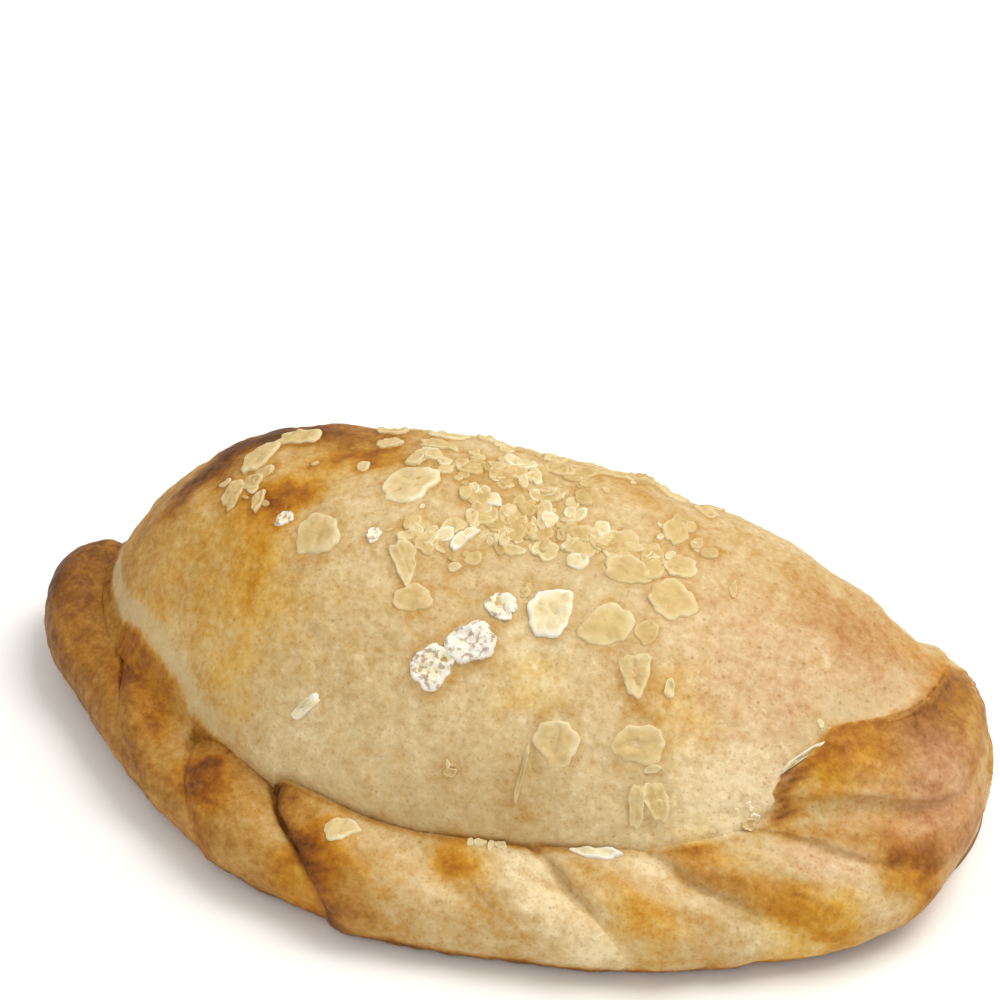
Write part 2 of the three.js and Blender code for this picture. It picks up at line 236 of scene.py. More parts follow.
def pocket_surface(along, around):
    """The pocket's skin. along runs -1 to 1 from end to end. around runs 0 to 4 round a section:
    up the front, over to the fold edge, tucked under, and back across the base."""
    quarter = np.pi / 2
    reach = np.where(along < 0, CREST - LEFT, RIGHT - CREST)
    x = CREST + reach * np.sin(along * quarter)
    front, rear, crest, high = pocket_lines(x)
    tuck = BACK_TUCK * (rear - LINE) / BACK
    rise, fall, under = (np.clip(around - step, 0, 1) * quarter for step in (0, 1, 2))
    home = np.clip(around - 3, 0, 1)
    parts = [around <= 1, around <= 2, around <= 3]
    y = np.select(
        parts,
        [crest - (crest - front) * np.abs(np.cos(rise)) ** (2 / FRONT_ROUND),
         crest + (rear - crest) * np.sin(fall),
         rear - tuck * (1 - np.cos(under))],
        (rear - tuck) * (1 - home) + front * home)
    z = np.select(
        parts,
        [high * np.sin(rise) ** (2 / FRONT_ROUND),
         high * (FOLD_EDGE + (1 - FOLD_EDGE) * np.cos(fall)),
         high * FOLD_EDGE * (1 - np.sin(under))],
        0.0)
    return np.stack([x + 0 * y, y, z], -1)

print("the pocket is", RIGHT - LEFT, "mm long and", HIGH, "mm high")

# %% [markdown]
# ## The rope
# The sealed edge is pressed and rolled over itself, fold after fold. Its middle line runs from the
# left end round the front to the right end, where the last fold is a wide flap that lies on the
# pocket. Stations give the line and the section, and a smooth curve joins them.

# %% The rope's middle line
# Each station: x, y and z of the middle, half width, half height, and inward tilt in degrees.
STATIONS = np.array([
    (-65.5, 20.5, 8, 6, 6.8, 4), (-63.5, 9, 6.6, 7, 7.2, 8), (-54.4, -1.9, 5.6, 7.4, 7, 10),
    (-41.4, -12.6, 5.6, 7.2, 6.7, 12), (-25.6, -22.2, 5.8, 7.6, 7, 14),
    (-6, -27.2, 5.8, 7.4, 6.8, 16), (16, -25.8, 6, 8.4, 7, 20), (35, -19.4, 7, 9.8, 7.2, 26),
    (48, -11.4, 9.6, 12.4, 7.4, 34), (55.9, -2.9, 12.2, 15, 8.4, 40),
    (60, 9.2, 12.6, 11.2, 9.2, 34), (58.8, 21, 12, 8, 9.4, 24), (55, 30.5, 9, 6, 7, 14),
])
ROPE_SAMPLES = 400

def smooth_curve(rows, share):
    """A Catmull-Rom curve through rows of numbers, at a share from 0 to 1 of their count."""
    rows = np.vstack([2 * rows[0] - rows[1], rows, 2 * rows[-1] - rows[-2]])
    count = len(rows) - 3
    place = np.clip(share, 0, 1) * count
    index = np.minimum(place.astype(int), count - 1)
    t = (place - index)[..., None]
    a, b, c, d = (rows[index + step] for step in range(4))
    square, cube = 2 * a - 5 * b + 4 * c - d, 3 * b - a - 3 * c + d
    return 0.5 * (2 * b + (c - a) * t + square * t**2 + cube * t**3)

TRACK = smooth_curve(STATIONS, np.linspace(0, 1, ROPE_SAMPLES))
TRACK_AT = np.concatenate([[0], np.cumsum(np.hypot(*np.diff(TRACK[:, :2], axis=0).T))])
ROPE_LENGTH = float(TRACK_AT[-1])
END_PROBE = 0.5

def rope_track(distance):
    """The six station numbers and the outward direction at distances along the rope.
    Past either end the line goes straight on."""
    inside = np.clip(distance, END_PROBE, ROPE_LENGTH - END_PROBE)
    columns = [np.interp(distance, TRACK_AT, TRACK[:, k]) for k in range(6)]
    ahead, behind = (
        np.stack([np.interp(inside + step, TRACK_AT, TRACK[:, k]) for k in (0, 1)], -1)
        for step in (END_PROBE, -END_PROBE))
    heading = unit(ahead - behind)
    over = distance - np.clip(distance, 0, ROPE_LENGTH)
    columns[0] = columns[0] + over * heading[..., 0]
    columns[1] = columns[1] + over * heading[..., 1]
    outward = np.stack([heading[..., 1], -heading[..., 0]], -1)
    return np.stack(columns, -1), outward

print("the rope is", round(ROPE_LENGTH, 1), "mm long in plan")

# %% [markdown]
# ## The folds
# Along the rope, each fold rises steeply out of its crease and sinks gently towards the next one.
# A sine over a root of the share does that: the smaller the power, the steeper the start. The
# folds lean, because each one is rolled forwards and inwards over the one before.

# %% The folds
# Each fold: where it starts along the rope, how deep it is, how soft its start is, the shares of
# that depth left on the outer rim and at the inner seam, and how much it leans on either side.
FOLDS = np.array([
    (-10, 1.2, 0.7, 0.4, 1, 0.95, 0.95), (32, 1.4, 0.6, 0.4, 1, 2.2, 1.9),
    (52, 2, 0.5, 0.4, 1, 1.2, 0.95), (69.8, 2.9, 0.45, 0.4, 0.9, 1.6, 0.95),
    (93.5, 1.2, 1, 0.2, 0.3, 1.2, 0.95), (109.8, 2.2, 0.55, 0.2, 0.1, 0.95, 0.95),
    (124.9, 1.9, 0.6, 0.1, 0.1, 1.6, 1.15), (142, 1.3, 0.65, 0, 0.1, 1.3, 1.6),
    (151.3, 2.9, 0.42, -0.8, 0.1, 1.4, 1.8), (190, 2.9, 0.5, -0.8, 0.1, 1.4, 1.8),
])
FOLD_LEVEL = 0.6
RIM_REACH = 1.2
SEAM_REACH = (-0.15, 0.5)
ROPE_ROUND = 2.3
ROPE_CAP = 7.0
ROPE_FADE = 18.0
CAP_DROOP = 0.6
# The last flap's free edge swells where it lies on the pocket.
LIP = {"at": 153.2, "before": 3.6, "after": 14.0, "angle": 145.0, "around": 42.0, "out": 3.0}

def fold_share(distance):
    """Which fold a distance along the rope is in, and its share of the way through that fold."""
    index = np.clip(np.searchsorted(FOLDS[:, 0], distance, side="right") - 1, 0, len(FOLDS) - 2)
    start, end = FOLDS[index, 0], FOLDS[index + 1, 0]
    return index, np.clip((distance - start) / (end - start), 0, 1)

def fold_relief(distance, angle):
    """Depth times sine of pi times the share to a power, less a level, so that creases sink.
    It fades towards the outer rim and towards the inner seam, by two shares that change smoothly
    from fold to fold, and a share below 0 ends it before the rim."""
    index, share = fold_share(distance)
    deep, soft = np.moveaxis(FOLDS[index, 1:3], -1, 0)
    level, rim, seam = look_up(FOLDS, distance, 1, 3, 4)
    outer = np.maximum(rim + (1 - rim) * smooth((1 - np.cos(angle)) / RIM_REACH), 0)
    inner = 1 - (1 - seam) * smooth((-np.cos(angle) - SEAM_REACH[0]) / SEAM_REACH[1])
    return (deep * np.sin(np.pi * share**soft) - FOLD_LEVEL * level) * outer * inner

def rope_fade(distance):
    """0 at the rope's two ends and 1 away from them."""
    return smooth(np.minimum(distance, ROPE_LENGTH - distance) / ROPE_FADE)

def rope_lean(distance, across):
    """How far along the rope a fold has run, for each millimetre of half width, at a share across
    the rope from -1 inside to 1 outside."""
    outer, inner = look_up(FOLDS, distance, 5, 6)
    return (outer * np.maximum(across, 0) + inner * np.minimum(across, 0)) * rope_fade(distance)

def rope_relief(distance, angle):
    """The folds' relief with the swelling of the last flap's edge."""
    off = distance - LIP["at"]
    along = off / np.where(off < 0, LIP["before"], LIP["after"])
    across = (np.degrees(angle) - LIP["angle"]) / LIP["around"]
    return fold_relief(distance, angle) * rope_fade(distance) + LIP["out"] * bell(along, across)

def rope_surface(distance, angle):
    """The rope's skin: a superellipse section, tilted inwards, carried along the middle line.
    angle is 0 on the outer side, a quarter turn on top and half a turn on the inner side."""
    across = np.cos(angle)
    here, _ = rope_track(distance)
    station, outward = rope_track(distance + rope_lean(distance, across) * here[..., 3])
    x, y, z, wide, high, tilt = np.moveaxis(station, -1, 0)
    end = np.clip(np.minimum(distance, ROPE_LENGTH - distance) / ROPE_CAP, 0, 1)
    cap = np.sqrt(1 - (1 - end) ** 2)
    relief = rope_relief(distance, angle)
    a = (wide + relief) * signed_power(across, 2 / ROPE_ROUND) * cap
    b = (high + relief) * signed_power(np.sin(angle), 2 / ROPE_ROUND) * cap
    turn = np.radians(tilt)
    out = a * np.cos(turn) + b * np.sin(turn)
    height = z * (1 - CAP_DROOP * (1 - cap)) - a * np.sin(turn) + b * np.cos(turn)
    return np.stack([x + outward[..., 0] * out, y + outward[..., 1] * out, height], -1)

# %% [markdown]
# ## How the rope meets the pocket
# At the left the dough runs smoothly from the rope into the pocket. Along the front a narrow
# groove parts them, and beside the last flap that groove is a dark gap. Both surfaces need to
# know how far away the other one is, so each gets a distance worked out from its own formula.

# %% Distances between the two
# Along the rope: distance, width of the soft join, and depth of the groove.
SEAM = np.array([
    (0, 3.4, 0), (30, 3.2, 0), (45, 2.2, 0), (56, 1.2, 0.3), (70, 0.7, 0.7), (110, 0.6, 0.8),
    (122, 0.8, 0.4), (134, 0.6, 0.5), (138, 0.3, 1.8), (142, 0.3, 1.8), (146, 0.5, 0.9),
    (156, 1.2, 0.1), (166, 3.4, 0), (190, 4, 0),
])
SEAM_CALM = 2.5
GROOVE_WIDTH = 0.9
NEAR_BLOCK = 4000
# The least half axis in mm, and the least multiple of it, that distances are worked out with.
LEAST_AXIS = 1.0
LEAST_SIZE = 1e-3

def nearest_on_rope(points):
    """Distance along the rope of the track sample nearest in plan, in blocks to save memory."""
    flat = points.reshape(-1, 3)[:, :2].astype(np.float32)
    line = TRACK[:, :2].astype(np.float32)
    best = [
        ((flat[i:i + NEAR_BLOCK, None] - line) ** 2).sum(-1).argmin(1)
        for i in range(0, len(flat), NEAR_BLOCK)]
    return TRACK_AT[np.concatenate(best)].reshape(points.shape[:-1])

def rope_gap(points):
    """How far points stand off the rope's skin, negative inside, and where along the rope they are.
    The section's superellipse gives it, with the relief of the fold that passes there."""
    at = nearest_on_rope(points)
    station, outward = rope_track(at)
    x, y, z, wide, high, tilt = np.moveaxis(station, -1, 0)
    out = (points[..., 0] - x) * outward[..., 0] + (points[..., 1] - y) * outward[..., 1]
    rise = points[..., 2] - z
    turn = np.radians(tilt)
    a = out * np.cos(turn) - rise * np.sin(turn)
    b = out * np.sin(turn) + rise * np.cos(turn)
    angle = np.arctan2(b / high, a / wide)
    along = at - rope_lean(at, np.cos(angle)) * wide
    along = at - rope_lean(along, np.cos(angle)) * wide
    relief = rope_relief(along, np.mod(angle, 2 * np.pi))
    size = superellipse(a / (wide + relief), b / (high + relief), ROPE_ROUND)
    return np.hypot(a, b) * (1 - 1 / np.maximum(size, LEAST_SIZE)), at, along

def pocket_gap(points):
    """How far points stand off the pocket's skin, from the superellipse of their section."""
    x, y, z = np.moveaxis(points, -1, 0)
    front, rear, crest, high = pocket_lines(x)
    high, deep, back_deep = (np.maximum(v, LEAST_AXIS) for v in (high, crest - front, rear - crest))
    edge = high * FOLD_EDGE
    over = np.maximum(z - edge, 0)
    ahead = superellipse((crest - y) / deep, z / high, FRONT_ROUND)
    behind = np.hypot((y - crest) / back_deep, over / (high - edge))
    size = np.where(y < crest, ahead, behind)
    reach = np.hypot(y - crest, np.where(y < crest, z, over))
    return reach * (1 - 1 / np.maximum(size, LEAST_SIZE))

def soft_join(gap, at):
    """Both surfaces swell by half the join's width times (1 - gap / width) squared, so they meet
    in a hollow."""
    width = np.interp(at, SEAM[:, 0], SEAM[:, 1])
    return width / 2 * np.clip(1 - np.abs(gap) / width, 0, 1) ** 2

def groove(gap, at):
    """The pocket sinks by a bell curve of the gap, so the rope's edge stands clear of it."""
    return np.interp(at, SEAM[:, 0], SEAM[:, 2]) * bell(gap / GROOVE_WIDTH)

# %% [markdown]
# ## Stains of browning
# The crust is pale where steam kept it cool and brown where it stood out. The browning is a number
# from 0, raw, to 1, burnt, stored on every vertex. Some of it is painted shade and one patch is a
# painted highlight, as said where they are added. Named patches add to it: each is a bell curve in
# plan with two reaches and a turn. More patches tell where the crust is golden, rosy or floury.
# Colour comes later, from these numbers.

# %% Patches of browning
PATCH_DRIFT = {"wavelength": 8.0, "size": 0.7, "seeds": (70, 71)}

def patches(points, rows):
    """The sum of bell-shaped patches over plan positions. Each row: x, y, long reach, short reach,
    turn and strength. The positions are first moved a little by two ripples, which makes the
    patches' edges uneven."""
    total = np.zeros(points.shape[:-1])
    shift_x, shift_y = (
        PATCH_DRIFT["size"] * ripple(points, PATCH_DRIFT["wavelength"], seed)
        for seed in PATCH_DRIFT["seeds"])
    for x, y, long, short, turn, strength in rows:
        dx, dy = points[..., 0] - x + shift_x, points[..., 1] - y + shift_y
        along, across = own_axes(dx, dy, turn)
        total += strength * bell(along / long, across / short)
    return total

POCKET_BROWN = [
    (-45, 14, 7.5, 3.2, 50, 0.42), (-38, 19.5, 7, 3.6, 25, 0.34), (-26, 21.5, 12, 3.6, 0, 0.4),
    (-30, 18.5, 7, 2.4, 0, 0.2), (-42.5, 12, 4, 2, 50, 0.1), (-52, 9, 8, 6, 60, 0.1),
    (-38.9, -10.5, 7, 4, -35, -0.12), (-28.5, 6, 5.4, 3, 25, 0.34), (-29.8, -2, 3.6, 2.3, 95, 0.18),
    (-29.2, -8.4, 3.8, 2.3, 95, 0.14), (-33, 5, 4, 3.4, 0, 0.12), (-22, 14.5, 6.5, 2.8, 8, 0.47),
    (-15.8, -21, 9, 4, -10, -0.1), (-4, 12, 10, 5, 0, 0.1), (12, -7, 6, 4, 0, -0.06),
    (-1, -11, 13, 9, 0, 0.08), (-16.7, -9, 6, 5, 0, 0.06), (-4, -23.5, 9, 4, 0, 0.05),
    (13, -22, 5, 4, 0, 0.05), (59, 14, 5, 4, 0, 0.06), (2, -19, 6, 4, 0, -0.12),
    (11, -22.5, 7, 3, 0, 0.12), (25.6, -20, 6, 3.5, 0, -0.12), (14.5, -11, 6, 4.5, 0, -0.08),
    (16, 21, 7, 2.4, -10, 0.18), (26, -8.6, 4.5, 3.5, 0, 0.1), (41.5, -13, 8, 5, 30, -0.26),
    (27, 17, 8, 5, 0, 0.1), (45, 14, 10, 8, -20, 0.16), (56, 16, 9, 6, -20, 0.14),
    (61, 19, 5, 4, -20, 0.22), (50, 12, 5, 4, 0, 0.1), (20, 34, 22, 8, 0, 0.14),
    (-30, 33, 16, 7, -15, 0.2),
]
# On both skins: where the crust has turned golden rather than grey-brown.
GOLDEN = [
    (-28.5, 6, 6, 3.6, 25, 0.9), (-29.5, -5.5, 7, 2.8, 95, 1.3), (-22, 14.5, 7.5, 3.4, 8, 0.8),
    (-42, 2, 13, 13, 0, 0.5), (-33.5, 4, 5, 4, 0, 0.4), (-24, -8, 13, 8, -20, 0.35),
    (13, -12, 7, 3.5, 0, 0.6), (33.5, -7.5, 6, 4, 0, 0.8), (60, 18, 6, 5, 0, 0.8),
    (-48.7, -6.8, 4.5, 3, -50, 0.9), (-41.4, -15.4, 4, 3, -50, 0.6), (17, 20, 9, 3, -10, 0.35),
    (-30, -12, 10, 6, -30, 0.45), (60, -4, 6, 4, 0, 0.55), (-46.7, -9.5, 4, 3, -50, 0.9),
    (-29.6, -25.2, 5, 3.8, -50, 1), (-11, -32, 4, 4, 0, 0.7), (-10.5, -32, 4, 3.4, -20, 0.9),
    (9.2, -27.9, 4.5, 3, 0, 1), (30, -27, 7, 3.5, -10, 0.5), (40, -18.3, 5, 2.4, 20, 0.7),
    (52, -20.8, 8, 2.6, 5, 0.9), (60.5, -18, 6, 2.6, 25, 0.8), (66, -8.5, 5, 3.4, -40, 1),
    (52, -4.5, 5, 2.6, 50, 0.9), (58, 3, 7, 2.6, 50, 0.5), (34.9, -28, 5, 3, 20, 0.5),
    (-4.7, -32.4, 5, 3, 0, 0.5),
]
POCKET_ROSY = [
    (40, 2, 20, 16, 0, 0.55), (56, 14, 12, 10, 0, 0.45), (44, -8, 10, 7, 0, 0.25),
    (10, -16, 12, 6, 0, 0.15),
]
POCKET_FLOUR = [
    (2, -21.5, 15, 6, 0, 0.5), (28, -17, 12, 5, 10, 0.4), (-20, -17, 10, 6, -25, 0.3),
    (4, 4, 14, 7, 0, 0.35), (18, 6, 12, 10, 0, 0.4), (44, 6, 10, 6, 30, 0.2),
]
# The rope's browning at distances along its folds.
ROPE_BROWN_ROWS = np.array([
    (0, 0.85), (12, 0.8), (24, 0.7), (31, 0.68), (33, 0.76), (38, 0.68), (46, 0.66),
    (51, 0.52), (53, 0.68), (57, 0.62), (62, 0.6), (68, 0.5), (70.3, 0.86), (74, 0.66),
    (80, 0.5), (86, 0.36), (92, 0.32), (95, 0.42), (98, 0.36), (101, 0.22), (105, 0.08),
    (109, 0.14), (111, 0.32), (115, 0.34), (119, 0.3), (122, 0.16), (124.5, 0.16), (127, 0.46),
    (131, 0.44), (136, 0.32), (141, 0.34), (144, 0.52), (148, 0.44), (151.5, 0.42), (153.5, 0.44),
    (158, 0.56), (168, 0.62), (176, 0.66), (190, 0.66),
])
# Patches of the rope's browning. The one at (40.3, -23.5) is painted shade for a hollow that the
# shape lacks, and the lighter one at (64.9, 3) is a painted highlight where the flap shines.
ROPE_BROWN = [
    (9.2, -27.9, 3.2, 2, 0, 0.36), (-70, 8, 9, 3, 75, 0.14), (-48.2, -9, 3.4, 2.4, -50, 0.16),
    (-41.4, -15.4, 3, 1.8, -50, 0.08), (-38, -16, 3, 2.4, 0, -0.08),
    (-30.3, -24.4, 3, 2.2, -30, 0.26), (-27.9, -27.6, 2.6, 2.2, -50, 0.07),
    (-46.1, -13.5, 4, 2.6, -50, 0.05), (38.8, -18.6, 3.4, 1.8, 20, 0.16),
    (-12, -32, 3.5, 2.5, -20, 0.12), (33, -26.5, 9, 2.6, -15, 0.08), (52, -20, 9, 3, 10, 0.14),
    (63.5, -9.5, 4.5, 3, -40, 0.2), (67, -7.5, 3.2, 2.6, -40, 0.22), (51, -4.5, 4.5, 2.6, 50, 0.1),
    (58.5, 6, 8, 2.6, 50, 0.18), (62.5, 15, 5, 2.6, 70, 0.18), (67, 2, 6, 6, 0, 0.12),
    (64.9, 3, 3.2, 2.4, 40, -0.27), (66.6, -7, 3.4, 2.4, -40, 0.06),
    (40.3, -23.5, 4, 2.6, -15, 0.2), (45.7, -23.5, 4, 2.6, 0, 0.08), (22.6, -28, 3.4, 2.6, 0, 0.09),
    (15, -26.8, 4, 2, 0, -0.06), (34.9, -28, 3.6, 3, 20, 0.1), (-4.7, -32.4, 4, 2.6, 0, 0.1),
    (57.9, -14.7, 4.4, 2, 10, -0.14), (-12, -31, 2.2, 2.8, 60, 0.05),
    (-9.3, -33.2, 2.2, 2.8, 60, 0.04), (60.5, -9.5, 4, 3, 0, 0.06), (14, -33.5, 6, 4, 0, 0.1),
]
ROPE_ROSY = [
    (66, 2, 8, 10, 0, 0.95), (57, -7, 6, 3.5, 20, 0.4), (57, -14.5, 6, 2.6, 0, 0.6),
    (51, -14.8, 4, 2.4, 0, 0.4), (40, -22, 9, 6, 0, 0.3), (28, -28, 6, 5, 0, 0.2),
]

def rope_brown(points, along):
    """The rope's browning: a curve along its folds, with patches."""
    return np.interp(along, *ROPE_BROWN_ROWS.T) + patches(points, ROPE_BROWN)

# %% [markdown]
# ## Making a mesh from a grid
# A closed skin is a stack of rings with one point at each end. NumPy writes all the faces in one
# go, and every number that the material needs rides along as an attribute of the vertices.

# %% Grids to meshes
MIDDLE_STEPS = {"rope": (500, 90), "pocket": (200, 90)}

def pie_middle():
    """The middle in plan of the plain shapes, which the CAD model puts at the frame's origin."""
    along, around = MIDDLE_STEPS["rope"]
    rope_grid = lattice(np.linspace(0, ROPE_LENGTH, along), np.linspace(0, 2 * np.pi, around))
    along, around = MIDDLE_STEPS["pocket"]
    pocket_grid = lattice(np.linspace(-1, 1, along), np.linspace(0, 3, around))
    skins = rope_surface(*rope_grid), pocket_surface(*pocket_grid)
    every = np.vstack([skin.reshape(-1, 3) for skin in skins])
    every = every[every[:, 2] > 0]
    low, high = every.min(0), every.max(0)
    return (low + high) / 2 * (1, 1, 0)

MIDDLE = pie_middle()
print("the formulas' middle in plan:", MIDDLE.round(2))

def closed_faces(rings, steps, first=0):
    """Quads between rings and triangles to the two end points, for vertices laid ring by ring
    and followed by the start point and the end point."""
    i, j = lattice(np.arange(rings - 1), np.arange(steps))
    k = (j + 1) % steps
    here, there = i * steps, (i + 1) * steps
    quads = np.stack([here + j, there + j, there + k, here + k], -1).reshape(-1, 4)
    j = np.arange(steps)
    k = (j + 1) % steps
    last = (rings - 1) * steps
    start, end = rings * steps, rings * steps + 1
    fans = np.concatenate([
        np.stack([np.full(steps, start), j, k], -1),
        np.stack([np.full(steps, end), last + k, last + j], -1)])
    return quads + first, fans + first

def mesh_piece(name, points, quads, fans, fields):
    """A mesh object from points in millimetres, its faces, and named numbers for every point."""
    mesh = bpy.data.meshes.new(name)
    mesh.vertices.add(len(points))
    mesh.vertices.foreach_set("co", ((points - MIDDLE) * MM).astype(np.float32).ravel())
    corners = np.concatenate([quads.ravel(), fans.ravel()])
    sizes = np.concatenate([np.full(len(quads), 4), np.full(len(fans), 3)])
    mesh.loops.add(len(corners))
    mesh.loops.foreach_set("vertex_index", corners.astype(np.int32))
    mesh.polygons.add(len(sizes))
    starts = np.concatenate([[0], np.cumsum(sizes)[:-1]])
    mesh.polygons.foreach_set("loop_start", starts.astype(np.int32))
    mesh.update(calc_edges=True)
    mesh.validate()
    mesh.polygons.foreach_set("use_smooth", np.ones(len(sizes), bool))
    for field, values in fields.items():
        layer = mesh.attributes.new(field, "FLOAT", "POINT")
        layer.data.foreach_set("value", np.asarray(values, np.float32).ravel())
    piece = linked(name, mesh)
    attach(piece, "root")
    print(name, "has", len(quads) * 2 + len(fans), "triangles")
    return piece

def closed_piece(name, grid, fields, poles):
    """One closed skin from a grid of rings, each field a grid as well, and two end points."""
    quads, fans = closed_faces(*grid.shape[:2])
    points = np.vstack([grid.reshape(-1, 3), poles])
    flat = {}
    for field, values in fields.items():
        values = np.broadcast_to(values, grid.shape[:2])
        flat[field] = np.concatenate([values.ravel(), [values[0].mean(), values[-1].mean()]])
    return mesh_piece(name, points, quads, fans, flat)

# %% [markdown]
# ## The oats' places
# The rolled oats have to be known before the crust is made, because the dough is painted a little
# darker round each one: partly browning, partly painted shade at their edges. Each row gives a
# flake's place in plan, its length, width and turn, how pale it is, how proud it stands, how deep
# the groove down its middle is, and how many corners it has.

# %% Where the oats lie
FLAKES = np.array([
    (-33, 18.5, 7, 4.4, 0, 0.5, 0.45, 0, 4), (-37, 14, 7.2, 4.6, 80, 0.45, 0.5, 0.2, 5),
    (-38.5, 7.4, 4.2, 3.8, 85, 0.5, 0.45, 0, 0), (-36, 8.6, 4.2, 2.6, 15, 0.45, 0.45, 0, 4),
    (-33.5, 5, 4.5, 2.2, 95, 0.5, 0.5, 0, 3), (-28, 1.8, 2.9, 2.4, 0, 1.1, 0.4, 0, 0),
    (-22, -0.5, 7, 6.4, 110, 0.5, 0.4, 0, 0), (-19.5, 19.3, 3.9, 3.6, 10, 0.5, 0.45, 0, 4),
    (-12, 19.4, 7, 3, -5, 0.5, 0.5, 0, 4), (-13.4, 15.4, 3.7, 2.7, 104, 0.6, 0.4, 0, 4),
    (-12.5, 9.7, 8.8, 6.5, 48, 0.7, 0.6, 0.3, 0), (-13.8, 0, 2.3, 2.1, 57, 1.16, 0.4, 0, 0),
    (-8.5, -2.5, 7, 4, -56, 0.66, 0.5, 0.1, 3), (-5.6, -7, 5, 4.2, 10, 0.5, 0.36, 0, 0),
    (-9, 0.8, 3.6, 1.7, 28, 0.66, 0.45, 0, 4), (-6.4, 0.5, 3.6, 3.3, 48, 0.45, 0.45, 0.2, 5),
    (-4, 4.2, 3.6, 2.8, 47, 0.6, 0.4, 0, 5), (-2, 2.8, 5.2, 1.9, 63, 0.98, 0.75, 0, 4),
    (-5.7, 15.5, 4.2, 3.8, 0, 0.4, 0.35, 0, 5), (-1.5, 16, 4.2, 3.4, 90, 0.45, 0.4, 0.3, 0),
    (0.4, 17.6, 5.2, 2.6, 104, 0.45, 0.4, 0, 4), (3, 18.2, 5.2, 2.6, 99, 0.45, 0.45, 0, 4),
    (5.5, 20.8, 4.6, 4.2, 35, 0.45, 0.5, 0, 5), (5.6, 14.5, 4.9, 3.6, 7, 0.45, 0.4, 0, 5),
    (-0.5, 7.4, 3.5, 3.1, 44, 0.55, 0.35, 0, 5), (2.9, 8.8, 4.7, 4, 109, 0.45, 0.35, 0, 5),
    (6.6, 10, 5.9, 1.6, 108, 0.6, 0.55, 0, 4), (3.2, 5.2, 3.4, 2.3, 30, 0.55, 0.35, 0, 4),
    (5, 3, 3.2, 2, 11, 0.6, 0.35, 0, 4), (9, 4.5, 3.7, 3.5, 19, 0.66, 0.45, 0, 5),
    (-2.6, 10.5, 3.7, 3.4, 17, 0.4, 0.3, 0, 5), (13.5, 7.5, 5.8, 5.6, 47, 0.54, 0.5, 0, 0),
    (17.7, 9.1, 5.9, 5.4, 44, 0.5, 0.42, 0, 5), (20.3, 5.2, 6.4, 4.8, 14, 0.54, 0.45, 0.1, 0),
    (22.8, 8.7, 3.6, 3.2, 90, 0.42, 0.3, 0, 0), (24, 15.2, 6.6, 3.5, 101, 0.5, 0.5, 0, 4),
    (26.7, 9, 5.2, 3.6, 31, 0.55, 0.45, 0.2, 0), (27.3, 3.4, 6.6, 6.2, 48, 0.54, 0.42, 0, 0),
    (20.4, -3.2, 7, 6.2, 41, 0.54, 0.42, 0, 0), (12.7, -3.9, 7, 6.4, 100, 1.01, 0.8, 0, 0),
    (6.2, -5, 4.9, 3.8, -36, 1.1, 0.6, 0.3, 0), (3.9, -10.2, 6.5, 6, 30, 1.18, 1, 0.1, 0),
    (-0.3, -13.7, 6.2, 5.6, 25, 1.08, 0.9, 0.2, 0), (25.7, -7.3, 7, 4.4, -60, 0.55, 0.45, 0.3, 3),
    (30.4, -7.2, 2.6, 1.4, 97, 0.75, 0.5, 0, 0), (18.2, -16.5, 6.2, 5.6, 110, 0.54, 0.4, 0.3, 0),
    (28.5, -13.5, 6.6, 5.5, 24, 0.5, 0.42, 0.35, 0), (29.7, -17.9, 6.4, 2.4, 101, 0.6, 0.5, 0, 4),
    (32.1, -16.8, 5.6, 3.3, -41, 0.6, 0.45, 0, 0), (5.2, -21.6, 2.2, 1.2, 8, 0.45, 0.35, 0, 4),
    (15.7, 25.4, 4.4, 2.8, 20, 0.4, 1, 0, 0), (8.9, 21.7, 3.8, 3.2, 40, 0.4, 0.45, 0, 0),
    (25.5, -2.3, 3.6, 3, 60, 0.3, 0.2, 0, 0), (34, 9, 3.2, 1, 106, 0.55, 0.35, 0, 0),
    (43.9, -13.6, 2.2, 1.6, 30, 0.55, 0.9, 0, 4),
])
# Thin slivers in the same columns: -1 corners stand for blunt ends.
SLIVERS = np.array([
    (-16.6, -18.8, 5.4, 1.3, 28, 1, 0.8, 0, -1), (14.5, -19.8, 8, 0.7, 83, 0.5, 0.5, 0, -1),
    (48.6, -5.4, 7, 0.8, 52, 0.96, 1.3, 0, -1), (11.9, 6.5, 3, 0.8, 50, 0.7, 0.6, 0, -1),
])
# Scraps of flake lie in drifts: middle in plan, reach both ways, how many, how pale, and how long
# they are at most.
DRIFTS = [
    (0.5, 16.5, 12, 4.5, 72, 0.5, 3.6), (-36, 9, 4.5, 5, 10, 0.45, 3.2),
    (-6, 1.5, 5, 2.6, 22, 0.6, 3.2), (2.5, 7.5, 7, 4.5, 46, 0.55, 3.6),
    (15, 9, 8, 3, 28, 0.55, 3.8), (24.5, 12, 3.5, 5.5, 16, 0.52, 3.6), (10, -3, 3, 1.5, 6, 0.55, 2),
    (43.9, -13.4, 2.4, 1.2, 9, 0.7, 1.8), (50.6, -1.5, 1.6, 0.8, 5, 0.7, 1.6),
    (5.2, -21.6, 1.8, 0.9, 3, 0.46, 1.8), (31, -17.4, 2.2, 2.2, 4, 0.55, 2.4),
    (2, 28, 20, 6, 34, 0.45, 3),
]
GOLDEN_ANGLE = math.pi * (3 - math.sqrt(5))
BEHIND = {
    "x": 3.0, "y": 26.5, "reach_x": 27.0, "reach_y": 8.0, "count": 30, "nearest_y": 22.5,
    "size": (3.4, 6.4), "wide": (0.6, 0.9), "turn": (0, 180), "pale": (0.35, 0.7),
    "proud": (0.3, 0.55), "furrow": (0, 0, 0.3), "corners": (0, 4, 5),
}
